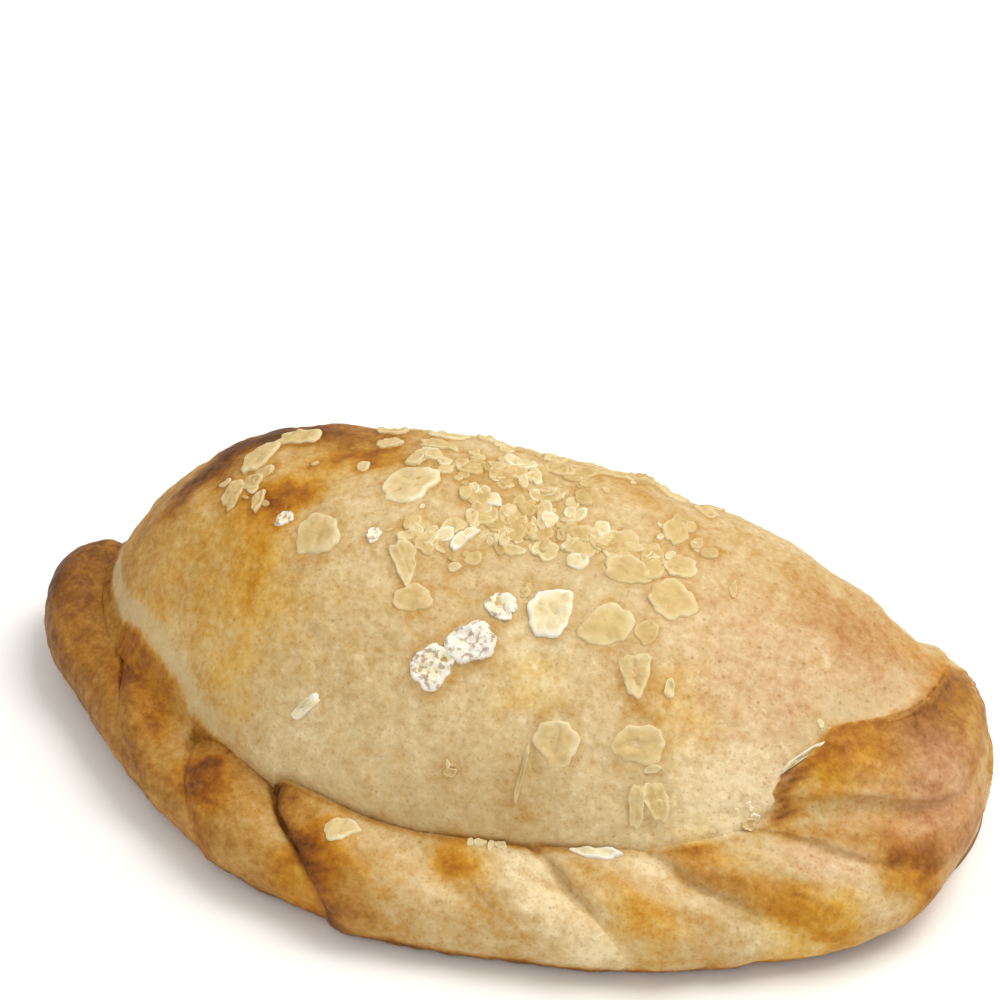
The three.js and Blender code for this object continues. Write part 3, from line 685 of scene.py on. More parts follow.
SCRAP = {
    "spread": 0.6, "smallest": 0.3, "wide": (0.45, 0.9), "turn": (0, 180), "pale": (-0.28, 0.34),
    "proud": (0.08, 0.20), "corners": (0, 3, 4, 5),
}
SEEDS = {"behind": 11, "scraps": 21, "outlines": 3}

def flakes_behind():
    """The oats go on behind the crest, in a sunflower pattern: each next flake turns by the golden
    angle and moves out by the root of its number."""
    draw = np.random.default_rng(SEEDS["behind"])
    count = BEHIND["count"]
    number = np.arange(count)
    reach = np.sqrt((number + 0.5) / count)
    size = draw.uniform(*BEHIND["size"], count)
    rows = np.stack([
        BEHIND["x"] + BEHIND["reach_x"] * reach * np.cos(number * GOLDEN_ANGLE),
        BEHIND["y"] + BEHIND["reach_y"] * reach * np.sin(number * GOLDEN_ANGLE),
        size, size * draw.uniform(*BEHIND["wide"], count),
        *(draw.uniform(*BEHIND[key], count) for key in ("turn", "pale", "proud")),
        *(draw.choice(BEHIND[key], count) for key in ("furrow", "corners"))], -1)
    return rows[rows[:, 1] > BEHIND["nearest_y"]]

def scraps():
    """Small torn bits of flake, spread through each drift with a normal draw."""
    draw = np.random.default_rng(SEEDS["scraps"])
    rows = []
    for x, y, reach_x, reach_y, count, pale, largest in DRIFTS:
        size = draw.uniform(SCRAP["smallest"] * largest, largest, count)
        rows.append(np.stack([
            x + reach_x * SCRAP["spread"] * draw.normal(size=count),
            y + reach_y * SCRAP["spread"] * draw.normal(size=count),
            size, size * draw.uniform(*SCRAP["wide"], count), draw.uniform(*SCRAP["turn"], count),
            pale + draw.uniform(*SCRAP["pale"], count), draw.uniform(*SCRAP["proud"], count) * size,
            np.zeros(count), draw.choice(SCRAP["corners"], count)], -1))
    return np.vstack(rows)

FLAKES = np.vstack([FLAKES, flakes_behind()])
SCRAPS = np.vstack([SLIVERS, scraps()])
print(len(FLAKES), "flakes and", len(SCRAPS), "scraps lie on the pocket")

# The darker ring round an oat, partly browning and partly painted shade, starts to fade this far
# above or below it, over as much again.
HALO_DROP = 3.0

def flake_halo(points, rows, reach):
    """How close a point lies to the outline of the nearest flake in plan: 1 on it and 0 a reach
    away. A point far below the flake gets 0, so that no stain runs down the steep back."""
    near = np.zeros(points.shape[:-1])
    heights = pocket_top(rows[:, 0], rows[:, 1])
    for (x, y, long, wide, turn, *_), height in zip(rows, heights):
        along, across = own_axes(points[..., 0] - x, points[..., 1] - y, turn)
        size = np.hypot(along / (long / 2), across / (wide / 2))
        off = np.abs(size - 1) * (long + wide) / 4
        below = np.abs(points[..., 2] - height) - HALO_DROP
        near = np.maximum(near, (1 - smooth(off / reach)) * (1 - smooth(below / HALO_DROP)))
    return near

# %% [markdown]
# ## The pocket's crust
# The dome is a grid of 420 by 230 points. Broad, shallow lumps show the filling under the dough,
# a finer ripple is the dough's own grain, and the soft join and the groove shape the seam. The
# numbers for the colours are worked out here as well, and are kept on the same points.

# %% The pocket's crust
LUMPS = [(26.0, 0.38), (9.0, 0.13), (3.2, 0.055), (1.3, 0.03)]
BASE_HOLD = 3.0
LUMP_SEED = 40

def lumps(points, seed):
    """Ripples of four wavelengths added, each smaller than the one before."""
    return sum(size * ripple(points, length, seed + k) for k, (length, size) in enumerate(LUMPS))

# At the left the dough was drawn over the seam, which left fine pleats across it: from and to which
# distance along the rope, how far onto the pocket, their wavelength and their height.
PLEATS = {
    "from": 8.0, "to": 48.0, "ease": 6.0, "at": 3.2, "reach": 2.6,
    "wavelength": 1.5, "along": 0.25, "seed": 60, "high": 0.10,
}

def pleats(gap, at):
    """A ripple that is short along the seam and long across it, within the pleats' range."""
    drawn = np.stack([at, gap * PLEATS["along"], np.zeros_like(at)], -1)
    starts = smooth((at - PLEATS["from"]) / PLEATS["ease"])
    ends = smooth((PLEATS["to"] - at) / PLEATS["ease"])
    near = bell((gap - PLEATS["at"]) / PLEATS["reach"])
    grain = ripple(drawn, PLEATS["wavelength"], PLEATS["seed"])
    return PLEATS["high"] * (starts * ends) * near * grain

def pocket_push(plain, gap, at):
    """How far the pocket's skin moves outwards: the soft join, less the groove, and lumps that calm
    down towards the seam."""
    calm = smooth(np.abs(gap) / SEAM_CALM)
    return lumps(plain, LUMP_SEED) * calm + pleats(gap, at) + soft_join(gap, at) - groove(gap, at)

# Along the rope: how dark the line in the seam is, which is partly browned edges and partly painted
# shade in the groove and in the gap beside the last flap, how strong the pale band beside it is,
# how far onto the rope the pocket's colour goes, and how wide the change between the two colours
# is.
SEAM_COLOURS = np.array([
    (0, 0, 0.1, 0.5, 2), (6, 0, 1, -0.8, 2), (16, 0, 1.4, -2.8, 2), (24, 0, 1.4, -2.8, 2),
    (32, 0, 1.2, -4.6, 1.8), (45, 0, 1.1, -5.2, 1.6), (49, 0, 0.9, -3.2, 1.4),
    (52, 0.1, 0.7, -0.8, 1), (60, 0.25, 0.3, 0.2, 0.8), (112, 0.3, 0.2, 0.2, 0.8),
    (126, 0.15, 0.3, 0.2, 0.8), (136, 0.2, 0.5, 0.2, 0.7), (138.5, 0.5, 0.5, 0, 0.6),
    (141.5, 0.5, 0.5, 0, 0.6), (144.5, 0.12, 0.7, 0, 0.8), (155, 0, 0.8, -0.2, 1),
    (166, 0, 0.6, -0.6, 1.6), (190, 0, 0.1, 0, 2),
])
PALE_BAND = {"at": -1.9, "reach": 2.1}
SEAM_LINE_REACH = 0.6
# The last flap's brown ends along a curve over the rope: it is highest at an angle and falls away
# from it by the square, and the change is this wide.
FLAP_END = {"at": 176.2, "angle": 86.0, "fall": 0.0039, "width": 1.6}

# How much darker the dough is painted round a flake and round a scrap, partly browning and partly
# painted shade at their edges and in the gaps between them, how far, and from which y on.
RING_SHADE_AND_BROWN = {"flakes": 0.13, "scraps": 0.17, "reach": 1.1, "in_front": -2.0}
# The pocket's browning: everywhere, more at the left end, with its start and reach, and low down,
# where the extra darkening is painted shade.
LEVEL = {"plain": 0.27, "left": 0.20, "left_from": -14, "left_reach": 30, "low": 0.05}
LOW_SIDE = 20
# The dough that touches the tray is painted darker, partly browning of the underside and partly
# painted contact shadow at the tray: up to which height on either skin, and how brown.
UNDER_SHADE_AND_BROWN = {"pocket": 1.7, "rope": 3.3, "soft": 0.55, "brown": 0.84}
BRAN = {"pocket": 0.35, "low": 0.3, "rope": 0.6, "rosy": 0.4}

def low_side(points):
    """0 above the lower side of the pie and 1 at its base."""
    return smooth((LOW_SIDE - points[..., 2]) / LOW_SIDE)

def pocket_brown(points):
    """The pocket's browning: a level that rises to the left and low down, patches, and a ring round
    each oat. Low down and in the rings it is partly painted shade.
    """
    left = smooth((LEVEL["left_from"] - points[..., 0]) / LEVEL["left_reach"])
    # Low down the dough is painted a little darker: painted shade on the lower side.
    level = LEVEL["plain"] + LEVEL["left"] * left + LEVEL["low"] * low_side(points)
    in_view = SCRAPS[SCRAPS[:, 1] > RING_SHADE_AND_BROWN["in_front"]]
    # A darker ring round each flake and scrap in view: partly browning, partly painted shade at
    # their edges and in the gaps.
    rings = np.maximum(
        RING_SHADE_AND_BROWN["flakes"] * flake_halo(points, FLAKES, RING_SHADE_AND_BROWN["reach"]),
        RING_SHADE_AND_BROWN["scraps"] * flake_halo(points, in_view, RING_SHADE_AND_BROWN["reach"]))
    return level + patches(points, POCKET_BROWN) + rings

def crust_fields(points, at, on_fold, side, angle=None):
    """The colour fields at points of either skin. side is the distance from the seam, positive on
    the rope and negative on the pocket. Only the rope's points have an angle."""
    line, band, onto, width = look_up(SEAM_COLOURS, at, 1, 2, 3, 4)
    as_rope = smooth((side - onto) / width + 0.5)
    if angle is None:
        inwards, open_side, top = 0.0, np.minimum(side, 0), UNDER_SHADE_AND_BROWN["pocket"]
    else:
        turned = np.where(angle < np.pi, np.degrees(angle), np.degrees(angle) - 360)
        inwards, open_side, top = turned - FLAP_END["angle"], np.maximum(side, 0), UNDER_SHADE_AND_BROWN["rope"]
    end = FLAP_END["at"] - FLAP_END["fall"] * inwards * np.abs(inwards)
    as_rope = as_rope * smooth((end - on_fold) / FLAP_END["width"] + 0.5)
    as_pocket = 1 - as_rope
    # Near the tray the dough is painted darker: partly browning, partly painted contact shadow.
    under = smooth((top - points[..., 2]) / (UNDER_SHADE_AND_BROWN["soft"] * top))
    near = bell((side - onto - PALE_BAND["at"]) / PALE_BAND["reach"])
    # The dark line in the seam: partly browned edges, partly painted shade in the groove.
    shade_and_brown_line = line * bell(open_side / SEAM_LINE_REACH)
    brown = pocket_brown(points) * as_pocket + rope_brown(points, on_fold) * as_rope
    rosy = patches(points, POCKET_ROSY) * as_pocket + patches(points, ROPE_ROSY) * as_rope
    pocket_bran = BRAN["pocket"] + BRAN["low"] * low_side(points)
    return {
        "brown": brown * (1 - under) + UNDER_SHADE_AND_BROWN["brown"] * under + shade_and_brown_line,
        "rosy": rosy,
        "golden": patches(points, GOLDEN),
        "flour": (band * near + patches(points, POCKET_FLOUR)) * as_pocket * (1 - under),
        "bran": pocket_bran * as_pocket + BRAN["rope"] * as_rope + BRAN["rosy"] * rosy,
    }

# Points along the pocket, and up its front, down its back, under the fold and across its base.
POCKET_GRID = {"along": 422, "around": (118, 76, 18, 18)}

def pocket_crust():
    """The pocket's grid with its lumps, join and groove, and its browning fields."""
    around = np.concatenate([
        np.linspace(quarter, quarter + 1, count, endpoint=False)
        for quarter, count in enumerate(POCKET_GRID["around"])])
    along = np.linspace(-1, 1, POCKET_GRID["along"])[1:-1]
    plain = pocket_surface(*lattice(along, around))
    gap, at, on_fold = rope_gap(plain)
    hold = smooth(plain[..., 2] / BASE_HOLD)
    grid = plain + ring_normals(plain) * (pocket_push(plain, gap, at) * hold)[..., None]
    fields = crust_fields(plain, at, on_fold, -gap)
    ends = np.array([[LEFT, LINE, 0], [RIGHT, LINE, 0]])
    return closed_piece("pocket", grid, fields, ends)

pocket = pocket_crust()
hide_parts("empanada")

# %% [markdown]
# ## The rope's crust
# The rope gets the same treatment, with sharp creases cut between the folds, a few thumb dents
# and fine wrinkles. Its browning is streaked along the folds, and the creases are painted darker,
# partly browning and partly painted shade. The tray presses its underside flat: a soft maximum
# keeps the height above zero without a hard corner.

# %% The rope's crust
CREASE_DEPTH = 0.55
CREASE_WIDTH = 0.8
# How much of that each crease has, from the second fold's to the last one's.
CREASE_SHARE = np.array([0.6, 0.9, 0.8, 0.0, 0.9, 0.6, 0.4, 0.2])
# The creases are painted darker, partly browning and partly painted shade in them: the width of
# that, and how much browner.
CREASE_SHADE_AND_BROWN = {"width": 0.7, "brown": 0.14}
WRINKLES = {"round": 1.6, "wavelength": 2.4, "seed": 7, "high": 0.07}
# Thumb dents: distance along, angle round, reach along, reach round, depth.
DENTS = [
    (54.5, 105, 3, 28, 1.3), (34, 112, 3, 25, 0.7), (74.5, 70, 2.6, 40, 0.8),
    (104, 60, 5, 30, -0.4), (150, 80, 6, 35, 0.7), (20, 105, 9, 30, 0.5),
]
# Browning streaks run with the folds: the ripple that makes them is drawn out along the rope.
STREAKS = {"stretch": 0.22, "around": 8.0, "wavelength": 2.4, "seed": 90, "strength": 0.03}
FLOOR_SOFTNESS = 0.9
# The rim spreads on the tray, or is tucked in: distance along, and how far out.
RIM_SPREAD = np.array([
    (0, 0), (45, 0), (56, 0.4), (64, 0.5), (70, 1.3), (76, 0.9), (84, 0.6),
    (98, 0.6), (108, 0.8), (116, 0.5), (121, -0.1), (130, -0.9), (139, -1.2), (148, -0.5),
    (156, 0), (190, 0),
])
RIM_ANGLE = 55.0
RIM_FADE = 0.9
ROPE_GRID = {"along": 562, "around": 120}

def creases(distance, width):
    """For each crease, its share times a bell curve of the distance to it."""
    return bell((distance[..., None] - FOLDS[1:-1, 0]) / width) * CREASE_SHARE

def round_rope(distance, angle, along, around):
    """Places for a ripple on the rope: the distance and a circle, each stretched by a factor."""
    return np.stack([distance * along, around * np.cos(angle), around * np.sin(angle)], -1)

def rim_fade(angle):
    """0 on the outer rim of the rope and 1 on its top and its inner side."""
    return smooth((1 - np.cos(angle)) / RIM_FADE)

def rope_push(distance, angle, plain):
    """How far the rope's skin moves outwards: creases, dents, wrinkles, lumps and the soft join."""
    push = -CREASE_DEPTH * creases(distance, CREASE_WIDTH).sum(-1) * rim_fade(angle)
    degrees = np.degrees(angle)
    for place, centre, along, round_, deep in DENTS:
        push -= deep * bell((distance - place) / along, (degrees - centre) / round_)
    turned = round_rope(distance, angle, 1, WRINKLES["round"])
    wrinkles = WRINKLES["high"] * ripple(turned, WRINKLES["wavelength"], WRINKLES["seed"])
    gap = pocket_gap(plain)
    calm = smooth(np.abs(gap) / SEAM_CALM)
    join = soft_join(gap, nearest_on_rope(plain))
    off_rim = (np.mod(degrees + 180, 360) - 180) / RIM_ANGLE
    rim = np.interp(distance, *RIM_SPREAD.T) * bell(off_rim)
    fine = wrinkles * calm * rim_fade(angle)
    return (push + fine) * rope_fade(distance) + lumps(plain, LUMP_SEED) * calm + join + rim

def rope_crust():
    """The rope's grid with its creases, join and wrinkles, pressed onto the tray, and fields."""
    step = np.linspace(0, ROPE_LENGTH, ROPE_GRID["along"])[1:-1]
    turn = np.linspace(0, 2 * np.pi, ROPE_GRID["around"], endpoint=False)
    distance, angle = lattice(step, turn)
    plain = rope_surface(distance, angle)
    grid = plain + ring_normals(plain) * rope_push(distance, angle, plain)[..., None]
    z = grid[..., 2]
    grid[..., 2] = (z + np.sqrt(z * z + FLOOR_SOFTNESS**2)) / 2
    fields = crust_fields(grid, nearest_on_rope(plain), distance, pocket_gap(plain), angle)
    # Darker creases: partly browning, partly painted shade.
    shade_and_brown_line = creases(distance, CREASE_SHADE_AND_BROWN["width"]).max(-1)
    fields["brown"] += CREASE_SHADE_AND_BROWN["brown"] * shade_and_brown_line * rim_fade(angle)
    drawn_out = round_rope(distance, angle, STREAKS["stretch"], STREAKS["around"])
    streaks = ripple(drawn_out, STREAKS["wavelength"], STREAKS["seed"])
    fields["brown"] += STREAKS["strength"] * streaks
    ends = rope_surface(np.array([0.0, ROPE_LENGTH]), np.zeros(2))
    return closed_piece("rope", grid, fields, ends)

rope = rope_crust()
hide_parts("empanada")

# %% [markdown]
# ## A small language for shaders
# Nodes are easier to read as sums. A Value wraps a socket that carries a number, and its operators
# add Math nodes. A Shade is one material: its node method makes any other node, and the methods
# after it name the few patterns that the dough and the oats share.

# %% Shader maths
class Value:
    """A number in a material, which can be added, subtracted and multiplied."""

    def __init__(self, shade, socket):
        self.shade, self.socket = shade, socket

    def math(self, operation, first, second):
        """A Math node's result."""
        made = self.shade.node("ShaderNodeMath", {"operation": operation}, {0: first, 1: second})
        return Value(self.shade, made.outputs[0])

    def __add__(self, other):
        return self.math("ADD", self, other)

    __radd__ = __add__

    def __sub__(self, other):
        return self.math("SUBTRACT", self, other)

    def __rsub__(self, other):
        return self.math("SUBTRACT", other, self)

    def __mul__(self, other):
        return self.math("MULTIPLY", self, other)

    __rmul__ = __mul__


# Where a speck's soft edge starts, as a share of its radius, and how sharply its cell has one.
SPECK_CORE = 0.3
SPECK_EDGE = 0.02


class Shade:
    """One material and its nodes."""

    def __init__(self, name):
        self.material = bpy.data.materials.new(name)
        self.material.use_nodes = True
        self.tree = self.material.node_tree
        self.surface = self.tree.nodes["Principled BSDF"]

    def node(self, kind, settings=None, inputs=None):
        """A node of a kind: its settings are set first, and then values or links go in."""
        made = self.tree.nodes.new(kind)
        for key, value in (settings or {}).items():
            if key == "stops":
                self.stops(made.color_ramp.elements, value)
            else:
                setattr(made, key, value)
        for key, value in (inputs or {}).items():
            self.feed(made.inputs[key], value)
        return made

    def stops(self, elements, rows):
        """The ramp's places and colours, with as many stops as there are rows."""
        while len(elements) < len(rows):
            elements.new(0.5)
        for element, (place, *screen) in zip(elements, rows):
            element.position, element.color = place, opaque(*screen)

    def feed(self, socket, value):
        """Links a socket to a value's socket, or gives it a plain number or colour."""
        if isinstance(value, Value):
            value = value.socket
        if isinstance(value, bpy.types.NodeSocket):
            self.tree.links.new(value, socket)
        else:
            socket.default_value = value

    def number(self, attribute):
        """A number that the vertices carry."""
        made = self.node("ShaderNodeAttribute", {"attribute_name": attribute})
        return Value(self, made.outputs["Fac"])

    def noise(self, size_mm, detail=2.0, rough=0.5):
        """Noise with lumps of about a size in millimetres, centred on 0."""
        made = self.node("ShaderNodeTexNoise", None, {
            "Vector": self.place, "Scale": 1 / (size_mm * MM),
            "Detail": detail, "Roughness": rough})
        return Value(self, made.outputs["Fac"]) - 0.5

    def noises(self, rows):
        """Noise of several sizes added. Each row: a weight, and what noise is given."""
        return sum(self.noise(*given) * weight for weight, *given in rows)

    def specks(self, apart_mm, radius, density):
        """Soft round specks: cells about so many millimetres apart, of which a share has a speck of
        a radius that is given in cells."""
        made = self.node("ShaderNodeTexVoronoi", None, {
            "Vector": self.place, "Scale": 1 / (apart_mm * MM)})
        kept = self.step(density - Value(self, made.outputs["Color"]), -SPECK_EDGE, SPECK_EDGE)
        off = self.step(Value(self, made.outputs["Distance"]), radius * SPECK_CORE, radius)
        return (1 - off) * kept

    @property
    def place(self):
        """Places on the object, in metres."""
        return self.node("ShaderNodeTexCoord").outputs["Object"]

    def step(self, value, low, high):
        """0 below low, 1 above high and smooth between, for a number."""
        made = self.node("ShaderNodeMapRange", {"interpolation_type": "SMOOTHSTEP"}, {
            "Value": value, "From Min": low, "From Max": high})
        return Value(self, made.outputs["Result"])

    def mix(self, factor, first, second):
        """Two colours mixed by a factor."""
        made = self.node("ShaderNodeMix", {"data_type": "RGBA"}, {
            "Factor": factor, 6: first, 7: second})
        return made.outputs[2]

    def ramp(self, value, rows):
        """The colour that a number picks between stops."""
        made = self.node("ShaderNodeValToRGB", {"stops": rows}, {"Fac": value})
        return made.outputs["Color"]

    def coat(self, colour, grain, look):
        """The finished surface: a colour, uneven roughness, and bumps where the grain is high."""
        rough, size, uneven, bump, high, shine = look
        bumps = self.node("ShaderNodeBump", None, {
            "Height": grain, "Strength": bump, "Distance": high * MM})
        return self.dress({
            "Base Color": colour, "Roughness": rough + self.noise(size) * uneven,
            "Normal": bumps.outputs["Normal"], "Specular IOR Level": shine})

    def dress(self, inputs):
        """The material, with values or links for the inputs of its surface."""
        for key, value in inputs.items():
            self.feed(self.surface.inputs[key], value)
        return self.material


def opaque(red, green, blue):
    """A colour read off a screen, 0 to 255, as the light it stands for, with full opacity."""
    screen = np.array([red, green, blue]) / 255
    light = np.where(screen <= 0.04045, screen / 12.92, ((screen + 0.055) / 1.055) ** 2.4)
    return (*(float(c) for c in light), 1)

# %% [markdown]
# ## The crust's finish
# Baked wholemeal dough goes from cream through tan to brown. The browning number, roughened by
# noise of four sizes, picks the colour on a ramp. Two more ramps take over where the crust is
# golden and where it is rosy. Then come a dusting of flour in the hollows, and specks of bran.

# %% The crust's finish
# Each stop: a place on the ramp and a screen colour. Browning picks the first three, tone the last.
RAMPS = {
    "plain": [
        (0, 230, 209, 166), (0.2, 211, 186, 138), (0.4, 194, 162, 107), (0.55, 182, 137, 66),
        (0.7, 158, 107, 34), (0.85, 126, 77, 20), (1, 90, 53, 16)],
    "rosy": [
        (0, 226, 203, 164), (0.2, 209, 176, 136), (0.4, 194, 149, 108), (0.6, 168, 115, 76),
        (0.8, 134, 82, 46), (1, 92, 54, 28)],
    "golden": [
        (0, 231, 205, 143), (0.2, 216, 182, 106), (0.4, 205, 158, 62), (0.55, 190, 131, 18),
        (0.7, 166, 103, 4), (0.85, 132, 72, 2), (1, 90, 48, 4)],
    "oat": [
        (0, 188, 156, 98), (0.35, 205, 178, 122), (0.65, 218, 198, 150), (0.82, 229, 216, 176),
        (0.93, 238, 230, 198), (1, 235, 230, 217)],
}
# Each row of noise: weight, size in mm and, where they aren't 2 and 0.5, detail and roughness.
NOISES = {
    "brown": [(0.24, 8, 3), (0.74, 2.4, 4, 0.65), (0.46, 0.9), (0.16, 0.4)],
    "crust": [(1, 1.3, 3, 0.55), (0.7, 3.4)],
    "oat": [(0.5, 1.8, 3), (0.36, 0.6)],
    "flake": [(1, 0.9)],
}
# What covers the plain ramp: where it starts, where it is full, how strong it is, and its noise.
COVERS = {
    "golden": (0.05, 0.95, 0.85, [(0.6, 3, 3)]),
    "rosy": (0.1, 1.0, 0.85, [(0.5, 4, 3)]),
    "flour": (0.10, 1.15, 0.75, [(1.2, 1.6, 3), (0.8, 0.5)]),
}
# The noise is weaker on brown dough: by how much, and between which browning numbers that sets in.
CALM = {"by": 0.38, "from": 0.15, "to": 0.55}
# Fine and coarse bran: how far specks are apart in mm, their radius in cells, their density, and
# what the bran field adds to it. Coarse specks are darker on rosy crust.
SPECKS = [(0.62, 0.42, 0.30, 0.40), (1.4, 0.27, 0.12, 0.40)]
SPECK_STRENGTH = {"fine": 0.26, "coarse": 0.28, "rosy": 0.26, "bump": 0.06}
TINTS = {
    "flour": opaque(200, 179, 135), "fine": opaque(146, 84, 46),
    "coarse": opaque(136, 76, 42), "pits": opaque(158, 126, 96),
}
# Roughness, the size and weight of its noise, strength and height in mm of the bumps, and shine.
COATS = {"crust": (0.58, 1.5, 0.16, 0.7, 0.45, 0.22), "oat": (0.66, 1.0, 0.12, 0.5, 0.2, 0.25)}

def crust_finish():
    """The dough's material: three ramps of browning, flour, bran, and a grain for the bumps."""
    shade = Shade("baked_crust")
    brown, bran = shade.number("brown"), shade.number("bran")
    calm = 1 - CALM["by"] * shade.step(brown, CALM["from"], CALM["to"])
    baked = brown + shade.noises(NOISES["brown"]) * calm
    colour, cover = shade.ramp(baked, RAMPS["plain"]), {}
    for field, (low, high, strength, noise) in COVERS.items():
        cover[field] = shade.step(shade.number(field) + shade.noises(noise), low, high)
        over = shade.ramp(baked, RAMPS[field]) if field in RAMPS else TINTS[field]
        colour = shade.mix(cover[field] * strength, colour, over)
    fine, coarse = (
        shade.specks(apart, radius, bran * more + some) for apart, radius, some, more in SPECKS)
    colour = shade.mix(fine * SPECK_STRENGTH["fine"], colour, TINTS["fine"])
    strength = SPECK_STRENGTH["coarse"] + cover["rosy"] * SPECK_STRENGTH["rosy"]
    colour = shade.mix(coarse * strength, colour, TINTS["coarse"])
    grain = shade.noises(NOISES["crust"]) + coarse * SPECK_STRENGTH["bump"]
    return shade.coat(colour, grain, COATS["crust"])

crust = crust_finish()
for piece in (pocket, rope):
    piece.data.materials.append(crust)

# %% [markdown]
# ## Rolled oats
# A rolled oat is a steamed groat pressed flat: a thin oval with a torn edge, a rim that curls up
# a little and often a groove down the middle. Each is a closed grid of rings and is laid on the
# crust, so it bends with it. All of them are one mesh.

# %% One flake
FLAKE_RINGS = np.array([0.10, 0.26, 0.42, 0.58, 0.72, 0.83, 0.91, 0.97, 1.0])
SCRAP_RINGS = np.array([0.30, 0.70, 0.92, 1.0])
FLAKE_SUNK = 0.5
FLAKE_FLOOR = 0.06
FLAKE_UNDER = [0.96, 0.3]
FLAKE_STEPS = 44
SCRAP_STEPS = 14
# How many waves run round the outline, and how high they are.
WAVES = [(2, 0.08), (3, 0.07), (4, 0.045), (6, 0.04), (9, 0.03), (13, 0.018)]
CORNERED = (0.55, 0.5)
BLUNT = 0.4
# The rim's lift: a level, and one and two waves round the flake.
LIFT = (0.62, 0.42, 0.26)
# The share of a flake's height that its middle has, and what the lifted rim adds.
DISH = (0.38, 0.62)
# Crumpling: wavelength, seed and share of the height.
CRUMPLE = [(1.9, 5, 0.22), (0.8, 6, 0.12)]
FURROW_WIDTH = 0.09
# How strong the pale rim is: a level, and what the lift adds.
RIM_PALE = (0.75, 0.3)

def flake_outline(angle, corners, draw):
    """The outline's reach round the flake: 1 with waves, and nearly a polygon with corners."""
    reach = 1 + sum(
        size * np.sin(count * angle + draw.uniform(0, 2 * np.pi)) for count, size in WAVES)
    if corners:
        part = 2 * np.pi / corners
        local = np.mod(angle + draw.uniform(0, part), part) - part / 2
        straight = math.cos(part / 2) / np.cos(local)
        reach *= CORNERED[0] + CORNERED[1] * straight
    return reach

def flake_grid(row, rings, steps, draw):
    """Local positions and heights of one flake: rings out over the top, round the rim and in below.
    The rim's height changes round the flake, so parts of it sink into the dough."""
    length, width, proud, furrow_depth, corners = (row[k] for k in (2, 3, 6, 7, 8))
    angle = np.linspace(0, 2 * np.pi, steps, endpoint=False)
    edge = flake_outline(angle, max(int(corners), 0), draw)
    level, one, two = LIFT
    lift = level + one * np.sin(angle + draw.uniform(0, 2 * np.pi))
    lift = lift + two * np.sin(2 * angle + draw.uniform(0, 2 * np.pi))
    share = np.concatenate([rings, FLAKE_UNDER])[:, None] + 0 * angle
    top = (np.arange(len(share)) < len(rings))[:, None]
    blunt = BLUNT if corners < 0 else 1.0
    a = share * edge * signed_power(np.cos(angle), blunt) * length / 2
    b = share * edge * signed_power(np.sin(angle), blunt) * width / 2
    dish = FLAKE_FLOOR + proud * (DISH[0] + DISH[1] * lift * share**3)
    rim = np.sqrt(np.clip(1 - share**12, 0, 1))
    furrow = furrow_depth * bell(b / (FURROW_WIDTH * width)) * (1 - share**4)
    local = np.stack([a, b, np.full_like(a, draw.uniform(0, 50))], -1)
    crumple = proud * sum(size * ripple(local, wave, seed) for wave, seed, size in CRUMPLE)
    height = np.where(top, (dish + crumple * (1 - share**6)) * rim - furrow, -FLAKE_SUNK)
    return a, b, height, share * top * np.clip(RIM_PALE[0] + RIM_PALE[1] * lift, 0, 1)

# How far to either side a slope is probed: on the pocket in mm, on the rope in mm and radians.
PLAN_PROBE = 0.25
SKIN_PROBE = 0.02

def on_pocket(x, y, turn):
    """A function that lays local positions on the pocket's crust about a place in plan, with the
    first local axis along the turn."""
    def lay(a, b, height):
        slope_x, slope_y = slopes(pocket_top, np.array(x), np.array(y), PLAN_PROBE)
        c, s = cos_sin(turn)
        along = unit(np.array([c, s, slope_x * c + slope_y * s]))
        across = np.cross(unit(np.array([-slope_x, -slope_y, 1.0])), along)
        px = x + a * along[0] + b * across[0]
        py = y + a * along[1] + b * across[1]
        plain = np.stack([px, py, pocket_top(px, py)], -1)
        slope_x, slope_y = slopes(pocket_top, px, py, PLAN_PROBE)
        normals = unit(np.stack([-slope_x, -slope_y, np.ones_like(px)], -1))
        gap, at, _ = rope_gap(plain)
        return plain + normals * (pocket_push(plain, gap, at) + height)[..., None]

    return lay

def on_rope(distance, degrees, turn):
    """A function that lays local positions on the rope's crust about a distance and an angle. The
    surface's two slopes there turn a local step into a step of distance and angle."""
    centre = np.array([distance, math.radians(degrees)])

    def lay(a, b, height):
        ways = np.stack(slopes(rope_surface, *centre, SKIN_PROBE), -1)
        c, s = cos_sin(turn)
        along = unit(ways @ np.linalg.solve(ways[:2], np.array([c, s])))
        across = np.cross(unit(np.cross(ways[:, 0], ways[:, 1])), along)
        steps = np.linalg.pinv(ways) @ np.stack([along, across], -1)
        places = np.moveaxis(centre + np.stack([a, b], -1) @ steps.T, -1, 0)
        plain = rope_surface(*places)
        normals = unit(np.cross(*slopes(rope_surface, *places, SKIN_PROBE)))
        return plain + normals * (rope_push(*places, plain) + height)[..., None]

    return lay

# Bits that lie on the rope: distance along, angle round, length, width, turn, how pale, how proud.
ROPE_BITS = [
    (80.5, 93, 5.2, 3.5, 21, 0.6, 0.45), (117.9, 112, 7, 1.5, 11, 1, 0.7),
    (102.1, 117, 1.6, 0.8, 20, 0.7, 0.5), (103.5, 116, 1.2, 0.8, 70, 0.75, 0.5),
    (105, 117, 1.8, 0.7, -10, 0.72, 0.5), (100.6, 116, 1, 0.7, 30, 0.7, 0.4),
]

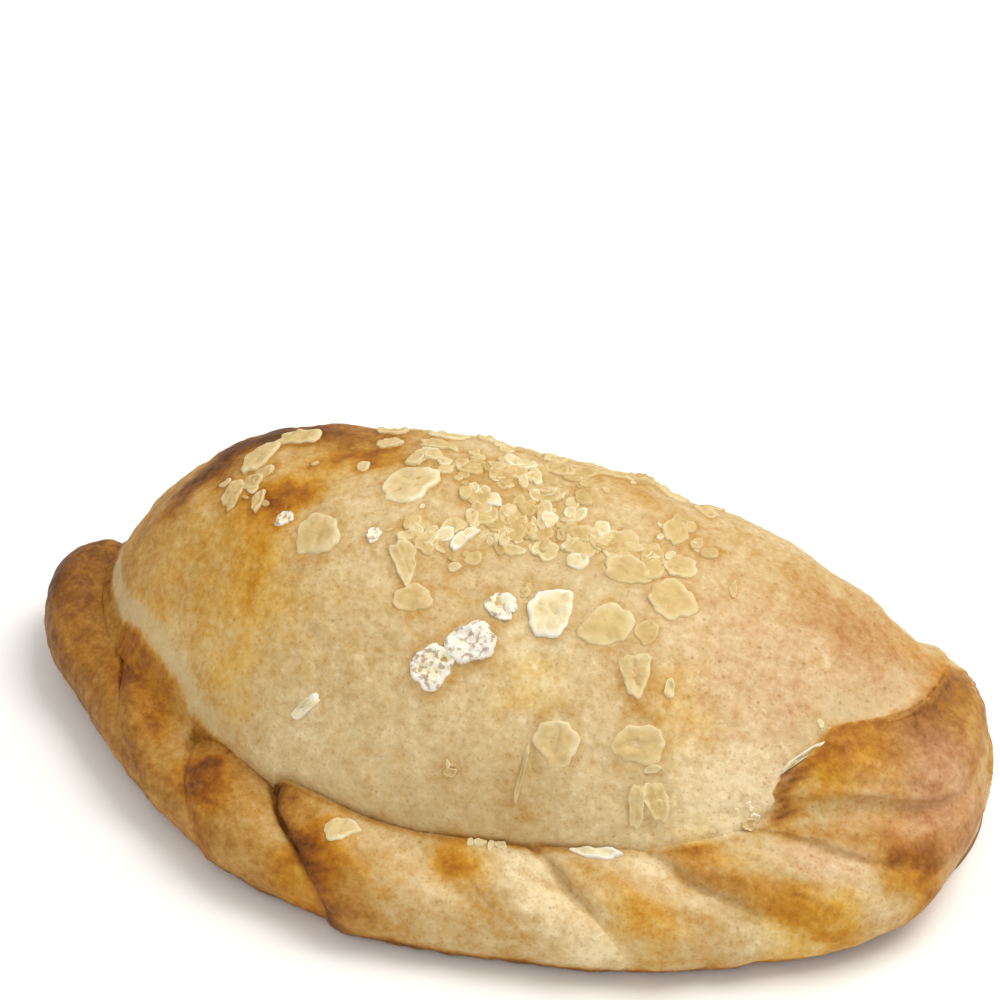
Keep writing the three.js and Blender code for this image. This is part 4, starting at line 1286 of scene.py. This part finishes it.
def oat_flakes():
    """All flakes as one mesh: each flake's grid is laid on the crust and its faces are added."""
    draw = np.random.default_rng(SEEDS["outlines"])
    jobs = [
        (row, rings, steps, on_pocket(row[0], row[1], row[4]))
        for rows, rings, steps in (
            (FLAKES, FLAKE_RINGS, FLAKE_STEPS), (SCRAPS, SCRAP_RINGS, SCRAP_STEPS))
        for row in rows]
    for distance, degrees, length, width, turn, pale, proud in ROPE_BITS:
        row = (0, 0, length, width, turn, pale, proud, 0, 0)
        jobs.append((row, FLAKE_RINGS, FLAKE_STEPS, on_rope(distance, degrees, turn)))
    points, quads, fans = [], [], []
    fields = {"pale": [], "rim": [], "own": []}
    first = 0
    for row, rings, steps, lay in jobs:
        a, b, height, share = flake_grid(row, rings, steps, draw)
        grid = lay(a, b, height)
        poles = lay(np.zeros(2), np.zeros(2), np.array([height[0].mean(), -FLAKE_SUNK]))
        flake_quads, flake_fans = closed_faces(*height.shape, first)
        points += [grid.reshape(-1, 3), poles]
        quads.append(flake_quads)
        fans.append(flake_fans)
        count = height.size + len(poles)
        fields["pale"].append(np.full(count, row[5]))
        fields["rim"].append(np.concatenate([share.ravel(), [0, 0]]))
        fields["own"].append(np.full(count, draw.uniform()))
        first += count
    flat = {name: np.concatenate(values) for name, values in fields.items()}
    return mesh_piece("oat_flakes", np.vstack(points), np.vstack(quads), np.vstack(fans), flat)

oats = oat_flakes()

# %% [markdown]
# ## The oats' finish
# Each flake has a tone of its own, is paler at its rim and is mottled inside. The palest ones are
# dusted with flour, and small brown pits show through it.

# %% The oats' finish
OAT_TONE = {"shift": -0.20, "own": 0.14, "edge": 0.30}
OAT_EDGE = (0.55, 0.92)
# Pits: their size in mm, where their noise starts and ends, on which flakes, and how strong.
PITS = {"size": 0.8, "noise": (0.02, 0.14), "pale": (1.02, 1.08), "strength": 0.72}

def oat_finish():
    """The oats' material: the flake's tone with a paler rim picks the colour on a ramp."""
    shade = Shade("rolled_oat")
    pale = shade.number("pale")
    edge = shade.step(shade.number("rim"), *OAT_EDGE)
    own = (shade.number("own") - 0.5) * OAT_TONE["own"]
    tone = pale + OAT_TONE["shift"] + own + edge * OAT_TONE["edge"] + shade.noises(NOISES["oat"])
    pits = shade.step(shade.noise(PITS["size"]), *PITS["noise"]) * shade.step(pale, *PITS["pale"])
    colour = shade.mix(pits * PITS["strength"], shade.ramp(tone, RAMPS["oat"]), TINTS["pits"])
    return shade.coat(colour, shade.noises(NOISES["flake"]), COATS["oat"])

oats.data.materials.append(oat_finish())

# %% [markdown]
# ## The floor's finish
# The sheet is matt and nearly white.

# %% The floor's finish
SHEET = {"Base Color": (0.93, 0.925, 0.91, 1), "Roughness": 0.7, "Specular IOR Level": 0.2}

floor.data.materials.append(Shade("white_sheet").dress(SHEET))
